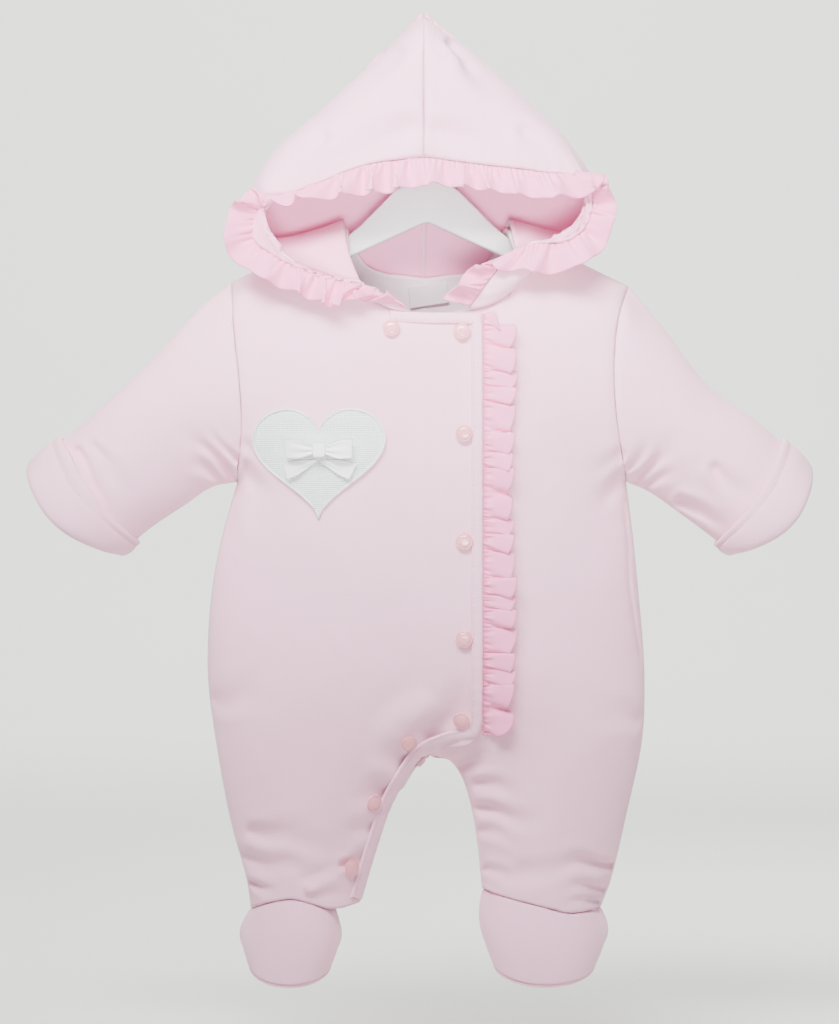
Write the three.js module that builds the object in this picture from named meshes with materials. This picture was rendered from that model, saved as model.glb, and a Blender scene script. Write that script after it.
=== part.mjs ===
// A baby's hooded padded snowsuit on a child's coat hanger, in millimetres, +Z up, with the front towards -Y.
// Right and left are the wearer's: the right side lies at -X. The origin is the top of the hanger's hook.
import * as THREE from 'three'

// Driving sizes
const WALL = 3 // padded cloth of the body
const HOOD_WALL = 2.4 // padded cloth of the hood
const SEAM = 0.3 // space between two pieces at a seam
const HALF_SEAM = SEAM / 2
const PUFF = 5.6 // half depth of the filled cloth over the square root of its room, in square-root mm
const FLAP_X = 41.8 // front edge of the flap
const UNDERLAP_X = 21.6 // hidden edge of the front under the flap
const FLAP_LIFT = 4.3 // how far the flap lies out over the other front
const FLAP_EDGE_LIFT = 1.2 // more lift at its very edge, over the frill's root
const LIFT_FADE = 48 // distance from the flap's edge where the lift starts
const FRONT_FRILL = { width: 21.6, root: 4, thick: 1, waves: 21, height: 6.5 }
const HOOD_FRILL = { width: 20, root: 2.3, thick: 1.1, waves: 26, height: 3.6 }
const BINDING = { width: 8, thick: 1, proud: 3.4, turnX: -15, turnZ: -523 }
const SNAP = { radius: 6, stem: 2.4, height: 4.3, sides: 10 }
const HEART = { x: -74.6, z: -298, width: 95, height: 78, thick: 2 }
const SLEEVE = { end: 0.985, gap: SEAM + 0.06, armpitLift: 0.5, wristBulge: 13 }
const CUFF = { start: 0.83, thick: 2.4, lip: 2.6, gap: 1.2, swell: 1.2 }
const FOOT = { ankleGap: SEAM + 0.4, frontSwell: 5, backSwell: 6 }
const SOLE_THICK = 3
const HOOD_REST = 2.6 // space between the hood and the shoulders it lies on
const HOOD_ROUND = 46 // how far in from its turn the hood reaches its full depth
const HOOD_LIFT = 3.4 // how far the hood's lowest rows rise over the shoulder seams
const BOW = { x: -74.5, z: -288.8, half: 24, ribbon: 13, thick: 0.8, knot: 4.5 }
const LABEL = { x: 2.6, z: -167.6, half: 14.2, tall: 15, tilt: 2.2, thick: 0.8 }
const BOARD = { centre: 2, thick: 12, inset: 6.8, reach: 118, end: 24, tip: 7, bevel: 2.4 }
// The hanger's crown between the shoulders: its top, and its edges at distances from the centre
const CROWN = { top: -93, side: { away: 23, z: -101.5 }, foot: { away: 47, z: -126 }, shoulder: 56 }
const ARCH = { top: -124, side: { away: 58, z: -150.5 } }
const HOOK = { wire: 1.75, radius: 17 }

// Seams and edges of the cut pieces, seen from the front: x across, z up
const SHOULDER_NECK = { right: { x: -56.9, z: -127.4 }, left: { x: 60.5, z: -127.4 } }
const SHOULDER_TIP = { right: { x: -138.7, z: -167.3 }, left: { x: 147.3, z: -170.3 } }
const ARMPIT = { right: { x: -134.6, z: -311.5 }, left: { x: 145.4, z: -311.5 } }
const ARMHOLE = {
  right: [SHOULDER_TIP.right, { x: -136, z: -199.4 }, { x: -131.4, z: -240 }, { x: -130, z: -275 },
    ARMPIT.right],
  left: [SHOULDER_TIP.left, { x: 139, z: -194 }, { x: 135.4, z: -232 }, { x: 138, z: -272 }, ARMPIT.left],
}
const SLEEVE_TOP = {
  right: [SHOULDER_TIP.right, { x: -161.3, z: -186.5 }, { x: -204.5, z: -231.8 }, { x: -247.7, z: -271.4 },
    { x: -285.8, z: -302.4 }],
  left: [SHOULDER_TIP.left, { x: 169.9, z: -197.3 }, { x: 206, z: -243 }, { x: 241.9, z: -269.3 },
    { x: 279.5, z: -305 }],
}
const SLEEVE_UNDER = {
  right: [ARMPIT.right, { x: -151.2, z: -314.4 }, { x: -171.7, z: -327.6 }, { x: -198, z: -345.4 },
    { x: -218.9, z: -363.6 }],
  left: [ARMPIT.left, { x: 160.6, z: -317.6 }, { x: 185.5, z: -334.8 }, { x: 205.9, z: -350 },
    { x: 222.5, z: -363.2 }],
}
const SIDE = {
  right: [ARMPIT.right, { x: -146.9, z: -357 }, { x: -153.4, z: -396 }, { x: -155.5, z: -450 },
    { x: -149.8, z: -497 }, { x: -139.3, z: -554 }, { x: -127.4, z: -598 }, { x: -124.8, z: -616.6 }],
  left: [ARMPIT.left, { x: 149, z: -338 }, { x: 153.7, z: -382 }, { x: 158.8, z: -450 },
    { x: 157, z: -497 }, { x: 146.5, z: -547 }, { x: 134.3, z: -598 }, { x: 127.6, z: -615.6 }],
}
const CROTCH = { x: 4.6, z: -507.6 }
const INNER_LEG = {
  right: [CROTCH, { x: -5.4, z: -511.2 }, { x: -20.2, z: -534.7 }, { x: -34.2, z: -573.8 },
    { x: -45.7, z: -612.7 }],
  left: [CROTCH, { x: 20.2, z: -512.6 }, { x: 31, z: -533.5 }, { x: 37.6, z: -565 }, { x: 41.6, z: -602.3 }],
}
const ANKLE = {
  right: [SIDE.right[7], { x: -109.4, z: -611 }, { x: -92.4, z: -608.4 }, { x: -64.8, z: -615.2 },
    { x: -45.7, z: -612.7 }],
  left: [INNER_LEG.left[4], { x: 63.4, z: -608.4 }, { x: 85, z: -613.4 }, { x: 104.4, z: -618 },
    SIDE.left[7]],
}
const ANKLE_BACK_DROP = 6 // the ankle seam lies lower at the heel
const NECK_FRONT = {
  right: [SHOULDER_NECK.right, { x: -54, z: -146 }, { x: -39, z: -178.6 }, { x: -21, z: -189 },
    { x: FLAP_X, z: -191.5 }],
  left: [{ x: UNDERLAP_X, z: -190 }, { x: 46, z: -186 }, { x: 64, z: -173 }, { x: 66, z: -150 },
    SHOULDER_NECK.left],
}
const NECK_BACK = [SHOULDER_NECK.right, { x: -40, z: -154 }, { x: 0, z: -162 }, { x: 42, z: -154 },
  SHOULDER_NECK.left]
const FLAP_EDGE = [{ x: FLAP_X, z: -191.5 }, { x: FLAP_X, z: -340 }, { x: FLAP_X, z: -482.4 },
  { x: 38.6, z: -492.6 }, { x: 20.2, z: -496.8 }, { x: 2.6, z: -504 }]
const UNDERLAP = [{ x: UNDERLAP_X, z: -190 }, { x: UNDERLAP_X, z: -340 }, { x: UNDERLAP_X, z: -478 },
  { x: 14, z: -499 }, CROTCH]

// Largest folds of the body and legs: a soft trough from one point to the other
const FOLDS = [
  { x0: -128, z0: -588, x1: -88, z1: -600, wide: 13, deep: 4 },
  { x0: -118, z0: -566, x1: -62, z1: -574, wide: 15, deep: 3 },
  { x0: 42, z0: -548, x1: 78, z1: -553, wide: 12, deep: 3 },
  { x0: 70, z0: -590, x1: 128, z1: -583, wide: 13, deep: 3.5 },
  { x0: -140, z0: -312, x1: -168, z1: -278, wide: 13, deep: 3 },
  { x0: 151, z0: -313, x1: 178, z1: -282, wide: 13, deep: 3 },
]

// Feet: the sole's centre, half width, half length, and how far its toe hangs below its heel
const FEET = {
  right: { top: ANKLE.right, inner: -64.2, outer: -125, x: -95.6, y: -16, z: -652,
    halfWidth: 31, halfLength: 42, dip: 15 },
  left: { top: ANKLE.left, inner: 42.2, outer: 127.4, x: 86, y: -16, z: -651.5,
    halfWidth: 38, halfLength: 44, dip: 15 },
}

// The hood's front edge from the neck's front round to the top, and where its rows turn to the back.
// lean is the frill's direction seen from the front, in degrees from +X.
const HOOD_EDGE = {
  right: [
    { x: -9.4, z: -187, y: -38, lean: 150 }, { x: -38.5, z: -171, y: -45, lean: 205 },
    { x: -68, z: -166, y: -45, lean: 262 }, { x: -100, z: -153, y: -41, lean: 250 },
    { x: -121, z: -136, y: -32, lean: 205 }, { x: -112, z: -114.5, y: -33, lean: 165 },
    { x: -80, z: -101, y: -40, lean: 215 }, { x: -44, z: -86.5, y: -44, lean: 262 },
    { x: -0.2, z: -80.6, y: -46, lean: 270 },
  ],
  left: [
    { x: 32.2, z: -186.4, y: -44, lean: 160 }, { x: 51.5, z: -161, y: -45, lean: 175 },
    { x: 70, z: -143.2, y: -42, lean: 230 }, { x: 100, z: -140, y: -40, lean: 285 },
    { x: 118, z: -124, y: -32, lean: 340 }, { x: 116, z: -96, y: -33, lean: 10 },
    { x: 88, z: -91, y: -40, lean: 300 }, { x: 44, z: -86, y: -44, lean: 278 },
    { x: 0.2, z: -80.6, y: -46, lean: 270 },
  ],
}
const HOOD_TURN = {
  right: [SHOULDER_NECK.right, { x: -82, z: -135.6 }, { x: -108, z: -138.5 }, { x: -130, z: -128 },
    { x: -116, z: -84 }, { x: -62, z: -33 }, { x: -0.2, z: 24 }],
  left: [SHOULDER_NECK.left, { x: 84, z: -132.5 }, { x: 108, z: -135 }, { x: 126, z: -122 }, { x: 117, z: -84 },
    { x: 62, z: -26 }, { x: 0.2, z: 24 }],
}
const HOOD_BACK_Y = { neck: 26, top: 9 }
const PEAK = { y: 0, z: 24 }
const SNAPS = [
  { x: -23, z: -202.5 }, { x: 27, z: -205 }, { x: 28.6, z: -277.2 }, { x: 28.6, z: -353.5 },
  { x: 28.6, z: -422.6 }, { x: 27, z: -480 }, { x: -11.5, z: -496.4 }, { x: -37, z: -540 },
  { x: -53, z: -586.7 },
]

// How finely the pieces are laid out
const ROWS_TORSO = 18 // from the shoulders to the crotch
const ROWS_LEG = 8
const ROWS_ARMHOLE = 8
const ROWS_TURN = 3 // of the flap's edge as it turns to the leg
const SHOULDER_FRONT = 5 // columns along a shoulder seam
const SHOULDER_BACK = 4
const ROWS_SLEEVE = 9
const AROUND = 20 // points round a sleeve or a foot
const FOOT_ROWS = [0, 0.1, 0.28, 0.5, 0.72, 0.9, 1]
const HOOD_COLUMNS = 16
const HOOD_ROWS = 15
const HOOD_NECK_ROWS = 4 // rows that rise over the shoulder seams
const FLAP_STEPS = 60
const STEPS_A_WAVE = 5
const TOP_FADE = 1.6 // how fast a panel's top edge stops shaping the rows below it
const BOTTOM_FADE = 3
const EVEN = { rounds: 40, rows: 10, from: 0.9, fade: 0.3 } // evens out the cells under the steep neckline

const up = new THREE.Vector3(0, 0, 1)
const smooth = t => THREE.MathUtils.smoothstep(t, 0, 1)
const at = (x, y, z) => new THREE.Vector3(x, y, z)

/** A smooth curve through a table's rows, kept in the XZ plane unless the rows have a y. */
function curve(rows) {
  return new THREE.CatmullRomCurve3(rows.map(r => at(r.x, r.y ?? 0, r.z)), false, 'centripetal')
}

/** Points along a curve, evenly or gathered towards its start or both its ends. */
function along(rows, count, gather = 'even') {
  const path = curve(rows)
  const spacing = {
    even: t => t,
    start: t => Math.pow(t, 1.5),
    both: t => (1 - Math.cos(Math.PI * t)) / 2,
  }[gather]
  return Array.from({ length: count + 1 }, (_, i) => path.getPointAt(spacing(i / count)))
}

// The outline of the filled suit, as straight stretches; wrists and ankles are left open
const outlineRuns = [
  [SHOULDER_NECK.right, SHOULDER_TIP.right], SLEEVE_TOP.right, SLEEVE_UNDER.right, SIDE.right, INNER_LEG.right,
  INNER_LEG.left, SIDE.left, SLEEVE_UNDER.left, SLEEVE_TOP.left, [SHOULDER_NECK.left, SHOULDER_TIP.left],
  [SHOULDER_NECK.left, SHOULDER_NECK.right],
]
const stretches = outlineRuns.flatMap(rows => {
  const points = rows.length === 2 ? rows : along(rows, (rows.length - 1) * 4)
  return points.slice(1).map((b, i) => ({ a: points[i], b }))
})

/** Room round a point: about the distance to the nearest edge, less where edges are near on several sides. */
function room(x, z) {
  let sum = 0
  for (const { a, b } of stretches) {
    const ax = a.x - x, az = a.z - z, bx = b.x - x, bz = b.z - z
    const cross = Math.abs(ax * bz - az * bx)
    const dot = ax * bx + az * bz
    const length = Math.hypot(b.x - a.x, b.z - a.z)
    const away = cross / length
    if (away < 1e-3) {
      if (dot <= 1e-3) return 0
      sum += Math.abs(1 / Math.hypot(ax, az) - 1 / Math.hypot(bx, bz))
    } else {
      sum += Math.atan2(cross, dot) / away
    }
  }
  return Math.PI / sum
}

/** How deep the folds cut at a point. */
function folds(x, z) {
  let deep = 0
  for (const f of FOLDS) {
    const dx = f.x1 - f.x0, dz = f.z1 - f.z0
    const t = THREE.MathUtils.clamp(((x - f.x0) * dx + (z - f.z0) * dz) / (dx * dx + dz * dz), 0, 1)
    const away = Math.hypot(x - f.x0 - t * dx, z - f.z0 - t * dz)
    deep = Math.max(deep, f.deep * (1 - 0.6 * t) * smooth(1 - away / f.wide))
  }
  return deep
}

/** Half depth of the suit at a point of its front or back. */
function depth(x, z) {
  const half = PUFF * Math.sqrt(room(x, z))
  return half - folds(x, z) * smooth(half / 24)
}

const flapPath = along(FLAP_EDGE, FLAP_STEPS)

/** Distance from a point to the flap's edge. */
function toFlapEdge(x, z) {
  let best = Infinity
  for (let i = 1; i < flapPath.length; i++) {
    const a = flapPath[i - 1], b = flapPath[i]
    const dx = b.x - a.x, dz = b.z - a.z
    const t = THREE.MathUtils.clamp(((x - a.x) * dx + (z - a.z) * dz) / (dx * dx + dz * dz), 0, 1)
    best = Math.min(best, Math.hypot(x - a.x - t * dx, z - a.z - t * dz))
  }
  return best
}

/** Outer surface of the front that carries the flap. */
function flapDepth(x, z) {
  const half = depth(x, z)
  const away = toFlapEdge(x, z)
  const lift = FLAP_LIFT * smooth((LIFT_FADE - away) / 20) + FLAP_EDGE_LIFT * smooth((16 - away) / 12)
  return half + lift * smooth(half / 12)
}

/** A cloth wall: faces are added as grids of outer points, then closed by an inner layer and its edges. */
class Cloth {
  constructor(wall, keep = p => p) {
    this.wall = wall
    this.keep = keep
    this.points = []
    this.keys = new Map()
    this.faces = []
    this.holds = new Map()
  }

  /** Index of a point, shared with any earlier point at the same place. */
  point(p) {
    const key = [p.x, p.y, p.z].map(v => Math.round(v * 500)).join()
    if (!this.keys.has(key)) {
      this.keys.set(key, this.points.length)
      this.points.push(p.clone())
    }
    return this.keys.get(key)
  }

  /** Adds a grid of rows; flip turns its outside round, ring joins each row's end to its start. */
  grid(rows, { flip = false, ring = false } = {}) {
    const ids = rows.map(row => row.map(p => this.point(p)))
    for (let j = 1; j < ids.length; j++) {
      const width = ids[j].length
      for (let i = ring ? 0 : 1; i < width; i++) {
        const h = (i + width - 1) % width
        const [a, b, c, d] = [ids[j - 1][h], ids[j - 1][i], ids[j][i], ids[j][h]]
        const short = this.points[a].distanceTo(this.points[c]) <= this.points[b].distanceTo(this.points[d])
        const pair = short ? [[a, b, c], [a, c, d]] : [[a, b, d], [b, c, d]]
        for (const [p, q, r] of pair) {
          if (p !== q && q !== r && p !== r) this.faces.push(flip ? [p, r, q] : [p, q, r])
        }
      }
    }
    return this
  }

  /** Keeps the wall's edge in its seam: these points' inner ones don't move along the direction given. */
  hold(points, directionOf) {
    points.forEach((p, i) => {
      const id = this.point(p)
      if (!this.holds.has(id)) this.holds.set(id, [])
      this.holds.get(id).push(directionOf(points, i))
    })
    return this
  }

  /** The closed wall. */
  solid() {
    const count = this.points.length
    const normals = this.points.map(() => new THREE.Vector3())
    const edges = new Set()
    for (const [a, b, c] of this.faces) {
      const ab = this.points[b].clone().sub(this.points[a])
      const ac = this.points[c].clone().sub(this.points[a])
      const n = ab.cross(ac)
      for (const i of [a, b, c]) normals[i].add(n)
      for (const e of [[a, b], [b, c], [c, a]]) edges.add(e.join())
    }
    const inner = this.points.map((p, i) => {
      const n = normals[i].normalize()
      for (const d of this.holds.get(i) ?? []) n.addScaledVector(d, -n.dot(d)).normalize()
      return this.keep(p.clone().addScaledVector(n, -this.wall))
    })
    const vertices = [...this.points, ...inner].flatMap(p => [p.x, p.y, p.z])
    const index = []
    for (const [a, b, c] of this.faces) index.push(a, b, c, a + count, c + count, b + count)
    for (const e of edges) {
      const [a, b] = e.split(',').map(Number)
      if (!edges.has([b, a].join())) index.push(b, a, a + count, b, a + count, b + count)
    }
    return closed(vertices, index)
  }
}

/** A mesh from its corners and triangles. */
function closed(vertices, index) {
  const geometry = new THREE.BufferGeometry()
  geometry.setAttribute('position', new THREE.Float32BufferAttribute(vertices, 3))
  geometry.setIndex(index)
  geometry.computeVertexNormals()
  return geometry
}

/** Keeps an inner point on its own side of the side seams. */
const inFront = p => p.setY(Math.min(p.y, -HALF_SEAM))
const behind = p => p.setY(Math.max(p.y, HALF_SEAM))

const acrossSide = () => at(0, 1, 0)
const acrossCentre = () => at(1, 0, 0)
const level = () => up.clone()

/** The direction across an edge, seen from the front. */
function acrossEdge(points, i) {
  const a = points[Math.max(i - 1, 0)], b = points[Math.min(i + 1, points.length - 1)]
  return at(-(b.z - a.z), 0, b.x - a.x).normalize()
}

/** Draws each inner point of the upper rows towards the middle of its neighbours. */
function evened(rows, fractions) {
  let grid = rows
  for (let round = 0; round < EVEN.rounds; round++) {
    grid = grid.map((row, j) => row.map((p, i) => {
      if (j === 0 || j === grid.length - 1 || i === 0 || i === row.length - 1) return p
      const middle = grid[j - 1][i].clone().add(grid[j + 1][i]).add(row[i - 1]).add(row[i + 1]).multiplyScalar(0.25)
      const share = Math.max(1 - j / EVEN.rows, 0) * Math.min(Math.max((EVEN.from - fractions[i]) / EVEN.fade, 0), 1)
      return p.clone().lerp(middle, share)
    }))
  }
  return grid
}

/** Rows between a left and a right edge, shaped by the top and bottom edges. */
function patch({ left, right, top, bottom, fractions, depthOf, side, steep = false }) {
  const last = left.length - 1
  const flat = left.map((l, j) => {
    const v = j / last
    return fractions.map((u, i) => {
      const p = l.clone().lerp(right[j], u)
      p.addScaledVector(top[i].clone().sub(left[0].clone().lerp(right[0], u)), (1 - v) ** TOP_FADE)
      p.addScaledVector(bottom[i].clone().sub(left[last].clone().lerp(right[last], u)), v ** BOTTOM_FADE)
      return p
    })
  })
  const rows = steep ? evened(flat, fractions) : flat
  return rows.map(row => row.map(p => at(p.x, side * (HALF_SEAM + depthOf(p.x, p.z)), p.z)))
}

/** Body edge from the shoulder tip down the armhole and the side to the ankle. */
function outerEdge(who) {
  const armhole = along(ARMHOLE[who], ROWS_ARMHOLE, 'start')
  const side = along(SIDE[who], ROWS_TORSO + ROWS_LEG - ROWS_ARMHOLE)
  return armhole.concat(side.slice(1))
}

/** The front that carries the flap. */
function frontRight() {
  const columns = 12
  const left = outerEdge('right')
  const down = along(FLAP_EDGE.slice(0, 3), ROWS_TORSO - ROWS_TURN)
  const turn = along(FLAP_EDGE.slice(2), ROWS_TURN).slice(1)
  const right = down.concat(turn, along(INNER_LEG.right.slice(1), ROWS_LEG))
  const top = along([SHOULDER_TIP.right, SHOULDER_NECK.right], SHOULDER_FRONT)
    .concat(along(NECK_FRONT.right, columns - SHOULDER_FRONT).slice(1))
  const bottom = along(ANKLE.right, columns, 'both')
  const fractions = [0, 0.012, 0.045, 0.1, 0.18, 0.28, 0.4, 0.53, 0.66, 0.78, 0.88, 0.95, 1]
  const rows = patch({ left, right, top, bottom, fractions, depthOf: flapDepth, side: -1 })
  const cloth = new Cloth(WALL, inFront).grid(rows, { flip: true })
  cloth.hold(rows.slice(0, ROWS_ARMHOLE + 1).map(r => r[0]), acrossEdge)
  cloth.hold(rows.slice(ROWS_ARMHOLE).map(r => r[0]), acrossSide)
  cloth.hold(rows[0].slice(0, SHOULDER_FRONT + 1), acrossSide)
  cloth.hold(rows[0].slice(SHOULDER_FRONT), acrossEdge)
  cloth.hold(rows.slice(0, ROWS_TORSO + 1).map(r => r[columns]), acrossEdge)
  cloth.hold(rows.slice(ROWS_TORSO + 1).map(r => r[columns]), acrossSide)
  cloth.hold(rows.at(-1), level)
  return cloth.solid()
}

/** The front that lies under the flap. */
function frontLeft() {
  const columns = 11
  const neckColumns = columns - SHOULDER_FRONT
  const right = outerEdge('left')
  const left = along(UNDERLAP, ROWS_TORSO).concat(along(INNER_LEG.left, ROWS_LEG).slice(1))
  const top = along(NECK_FRONT.left, neckColumns)
    .concat(along([SHOULDER_NECK.left, SHOULDER_TIP.left], SHOULDER_FRONT).slice(1))
  const bottom = along(ANKLE.left, columns, 'both')
  const fractions = [0, 0.07, 0.16, 0.28, 0.42, 0.56, 0.7, 0.82, 0.91, 0.965, 0.99, 1]
  const rows = patch({ left, right, top, bottom, fractions, depthOf: depth, side: -1, steep: true })
  const cloth = new Cloth(WALL, inFront).grid(rows, { flip: true })
  cloth.hold(rows.slice(0, ROWS_ARMHOLE + 1).map(r => r[columns]), acrossEdge)
  cloth.hold(rows.slice(ROWS_ARMHOLE).map(r => r[columns]), acrossSide)
  cloth.hold(rows[0].slice(neckColumns), acrossSide)
  cloth.hold(rows[0].slice(0, neckColumns + 1), acrossEdge)
  cloth.hold(rows.slice(0, ROWS_TORSO + 1).map(r => r[0]), acrossEdge)
  cloth.hold(rows.slice(ROWS_TORSO).map(r => r[0]), acrossSide)
  cloth.hold(rows.at(-1), level)
  return cloth.solid()
}

/** The back: two halves that share a centre line down to the crotch, then a leg each. */
function back() {
  const columns = 9
  const crease = along([NECK_BACK[2], CROTCH], ROWS_TORSO)
  const wave = t => 1 - Math.cos(Math.PI * t)
  const steps = Array.from({ length: columns + 1 }, (_, i) => i / columns)
  const fractions = steps.map(t => (wave(t / 2) + wave(t) / 2) / 2)
  const cloth = new Cloth(WALL, behind)
  for (const who of ['right', 'left']) {
    const outer = outerEdge(who)
    const inner = crease.concat(along(INNER_LEG[who], ROWS_LEG).slice(1))
    const neck = who === 'right' ? NECK_BACK.slice(0, 3) : NECK_BACK.slice(2).reverse()
    const top = along([SHOULDER_TIP[who], SHOULDER_NECK[who]], SHOULDER_BACK)
      .concat(along(neck, columns - SHOULDER_BACK).slice(1))
    const bottom = along(ANKLE[who], columns, 'both')
    if (who === 'left') bottom.reverse()
    bottom.forEach(p => p.setZ(ankleHeight(ANKLE[who], p.x, true)))
    const rows = patch({ left: outer, right: inner, top, bottom, fractions, depthOf: depth, side: 1 })
    cloth.grid(rows, { flip: who === 'left' })
    cloth.hold(rows.slice(0, ROWS_ARMHOLE + 1).map(r => r[0]), acrossEdge)
    cloth.hold(rows.slice(ROWS_ARMHOLE).map(r => r[0]), acrossSide)
    cloth.hold(rows[0].slice(0, SHOULDER_BACK + 1), acrossSide)
    cloth.hold(rows[0].slice(SHOULDER_BACK), acrossEdge)
    cloth.hold(rows.slice(ROWS_TORSO).map(r => r[columns]), acrossSide)
    cloth.hold(rows.at(-1), level)
  }
  return cloth.solid()
}

/** Sleeve surface: along it from the armhole (0) to the cuff's fold (1), round it from the top by the front. */
function sleeveSurface(who) {
  const sign = who === 'right' ? -1 : 1
  const top = curve(SLEEVE_TOP[who]), under = curve(SLEEVE_UNDER[who]), hole = curve(ARMHOLE[who])
  return (v, angle) => {
    const w = (1 - Math.cos(angle)) / 2
    const a = top.getPointAt(v), b = under.getPointAt(v)
    const p = a.clone().lerp(b, w)
    const seam = hole.getPointAt(w).sub(hole.getPointAt(0).lerp(hole.getPointAt(1), w))
    p.addScaledVector(seam, (1 - v) ** 2)
    const out = at(-(b.z - a.z), 0, b.x - a.x).normalize()
    if (Math.sign(out.x) !== sign) out.negate()
    p.addScaledVector(out, SLEEVE.wristBulge * v ** 4 * Math.sin(Math.PI * w))
    p.z += SLEEVE.armpitLift * w ** 6 * (1 - v) ** 8
    p.y = (Math.sin(angle) >= 0 ? -1 : 1) * depth(p.x, p.z)
    p.x += sign * SLEEVE.gap
    if (w < 1e-6 || w > 1 - 1e-6) p.y = 0
    return p
  }
}

/** One sleeve, open at both ends. */
function sleeve(who) {
  const surface = sleeveSurface(who)
  const rows = []
  for (let j = 0; j <= ROWS_SLEEVE; j++) {
    const v = SLEEVE.end * j / ROWS_SLEEVE
    rows.push(Array.from({ length: AROUND }, (_, i) => surface(v, 2 * Math.PI * i / AROUND)))
  }
  const cloth = new Cloth(WALL).grid(rows, { ring: true, flip: who === 'right' })
  const flat = rows[0].map(p => at(p.x, 0, p.z))
  rows[0].forEach((p, i) => {
    const a = flat[(i + AROUND - 1) % AROUND], b = flat[(i + 1) % AROUND]
    const turnsBack = Math.abs(b.z - a.z) < 1e-3
    const w = (1 - Math.cos(2 * Math.PI * i / AROUND)) / 2
    const ahead = turnsBack ? curve(ARMHOLE[who]).getTangentAt(w) : b.clone().sub(a)
    cloth.hold([p], () => at(-ahead.z, 0, ahead.x).normalize())
  })
  for (const i of [0, AROUND / 2]) cloth.hold([rows[0][i]], acrossSide)
  return cloth.solid()
}

/** Turned-back cuff: a wall outside the sleeve's end with a lip that closes over it. */
function cuff(who) {
  const surface = sleeveSurface(who)
  const section = [
    { v: CUFF.start, out: CUFF.gap }, { v: CUFF.start, out: CUFF.thick },
    { v: 0.92, out: CUFF.thick + CUFF.swell }, { v: SLEEVE.end, out: CUFF.thick },
    { v: 1, out: -0.8 }, { v: 1, out: -CUFF.lip },
    { v: 0.992, out: -CUFF.lip }, { v: 0.992, out: CUFF.gap }, { v: 0.91, out: CUFF.gap + 0.1 },
  ]
  const rings = section.map(({ v, out }) => Array.from({ length: AROUND }, (_, i) => {
    const angle = 2 * Math.PI * i / AROUND
    const step = 0.03
    const p = surface(v, angle)
    const dv = surface(Math.max(v - 0.02, 0), angle).sub(p).negate()
    const da = surface(v, angle + step).sub(surface(v, angle - step))
    const n = da.cross(dv).normalize()
    const core = surface(v, 0).lerp(surface(v, Math.PI), 0.5)
    if (n.dot(p.clone().sub(core)) < 0) n.negate()
    return p.addScaledVector(n, out)
  }))
  const vertices = rings.flat().flatMap(p => [p.x, p.y, p.z])
  const index = []
  for (let j = 0; j < rings.length; j++) {
    const k = (j + 1) % rings.length
    for (let i = 0; i < AROUND; i++) {
      const n = (i + 1) % AROUND
      const [a, b, c, d] = [j * AROUND + i, j * AROUND + n, k * AROUND + n, k * AROUND + i]
      if (who === 'left') index.push(a, b, c, a, c, d)
      else index.push(a, c, b, a, d, c)
    }
  }
  return closed(vertices, index)
}

/** Height of the ankle seam at x, front or back. */
function ankleHeight(rows, x, atBack) {
  const points = along(rows, 40)
  const k = Math.max(1, points.findIndex(p => p.x >= x - 1e-9))
  const a = points[k - 1], b = points[k]
  const z = a.z + (b.z - a.z) * THREE.MathUtils.clamp((x - a.x) / (b.x - a.x), 0, 1)
  const w = (x - points[0].x) / (points[40].x - points[0].x)
  return z - (atBack ? ANKLE_BACK_DROP * 4 * w * (1 - w) : 0)
}

/** Ring of a foot's ankle (0) to its sole's rim (1), clockwise from the outer side by the front. */
function footPoint(foot, t, angle) {
  const x = THREE.MathUtils.lerp(foot.inner, foot.outer, (1 + Math.cos(angle)) / 2)
  const front = Math.sin(angle) > 0
  const near = Math.abs(Math.sin(angle)) < 1e-6
  const edge = Math.sqrt(Math.max(0, 1 - Math.cos(angle) ** 8))
  const z0 = ankleHeight(foot.top, x, !front) - FOOT.ankleGap
  const half = near ? 0 : depth(x, z0 + 2) * edge
  const ankle = at(x, front ? -half : half, z0)
  const turn = (foot.outer - foot.inner) > 0 ? 1 : -1
  const long = -Math.sign(Math.sin(angle)) * Math.abs(Math.sin(angle)) ** 0.9
  const sole = at(foot.x + turn * foot.halfWidth * Math.cos(angle), foot.y + foot.halfLength * long,
    foot.z + foot.dip * long)
  const p = ankle.clone().lerp(sole, t)
  const swell = Math.sin(Math.PI * Math.min(1, t * 1.02)) * (front ? FOOT.frontSwell : FOOT.backSwell)
  const centre = at(THREE.MathUtils.lerp((foot.inner + foot.outer) / 2, foot.x, t), foot.y * t, p.z)
  const out = p.clone().sub(centre)
  out.z = 0
  if (out.length() > 1e-6) p.addScaledVector(out.normalize(), swell)
  return p
}

/** A whole ring of a foot. */
function footRing(foot, t) {
  return Array.from({ length: AROUND }, (_, i) => footPoint(foot, t, 2 * Math.PI * i / AROUND))
}

/** The padded upper of a foot. */
function footUpper(who) {
  const foot = FEET[who]
  const rows = FOOT_ROWS.map(t => footRing(foot, t))
  const cloth = new Cloth(WALL).grid(rows, { ring: true, flip: who === 'right' })
  cloth.hold(rows[0], level)
  cloth.hold(rows.at(-1), () => soleNormal(foot))
  return cloth.solid()
}

/** Direction out of the sole. */
function soleNormal(foot) {
  return at(0, foot.dip, -foot.halfLength).normalize()
}

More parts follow.
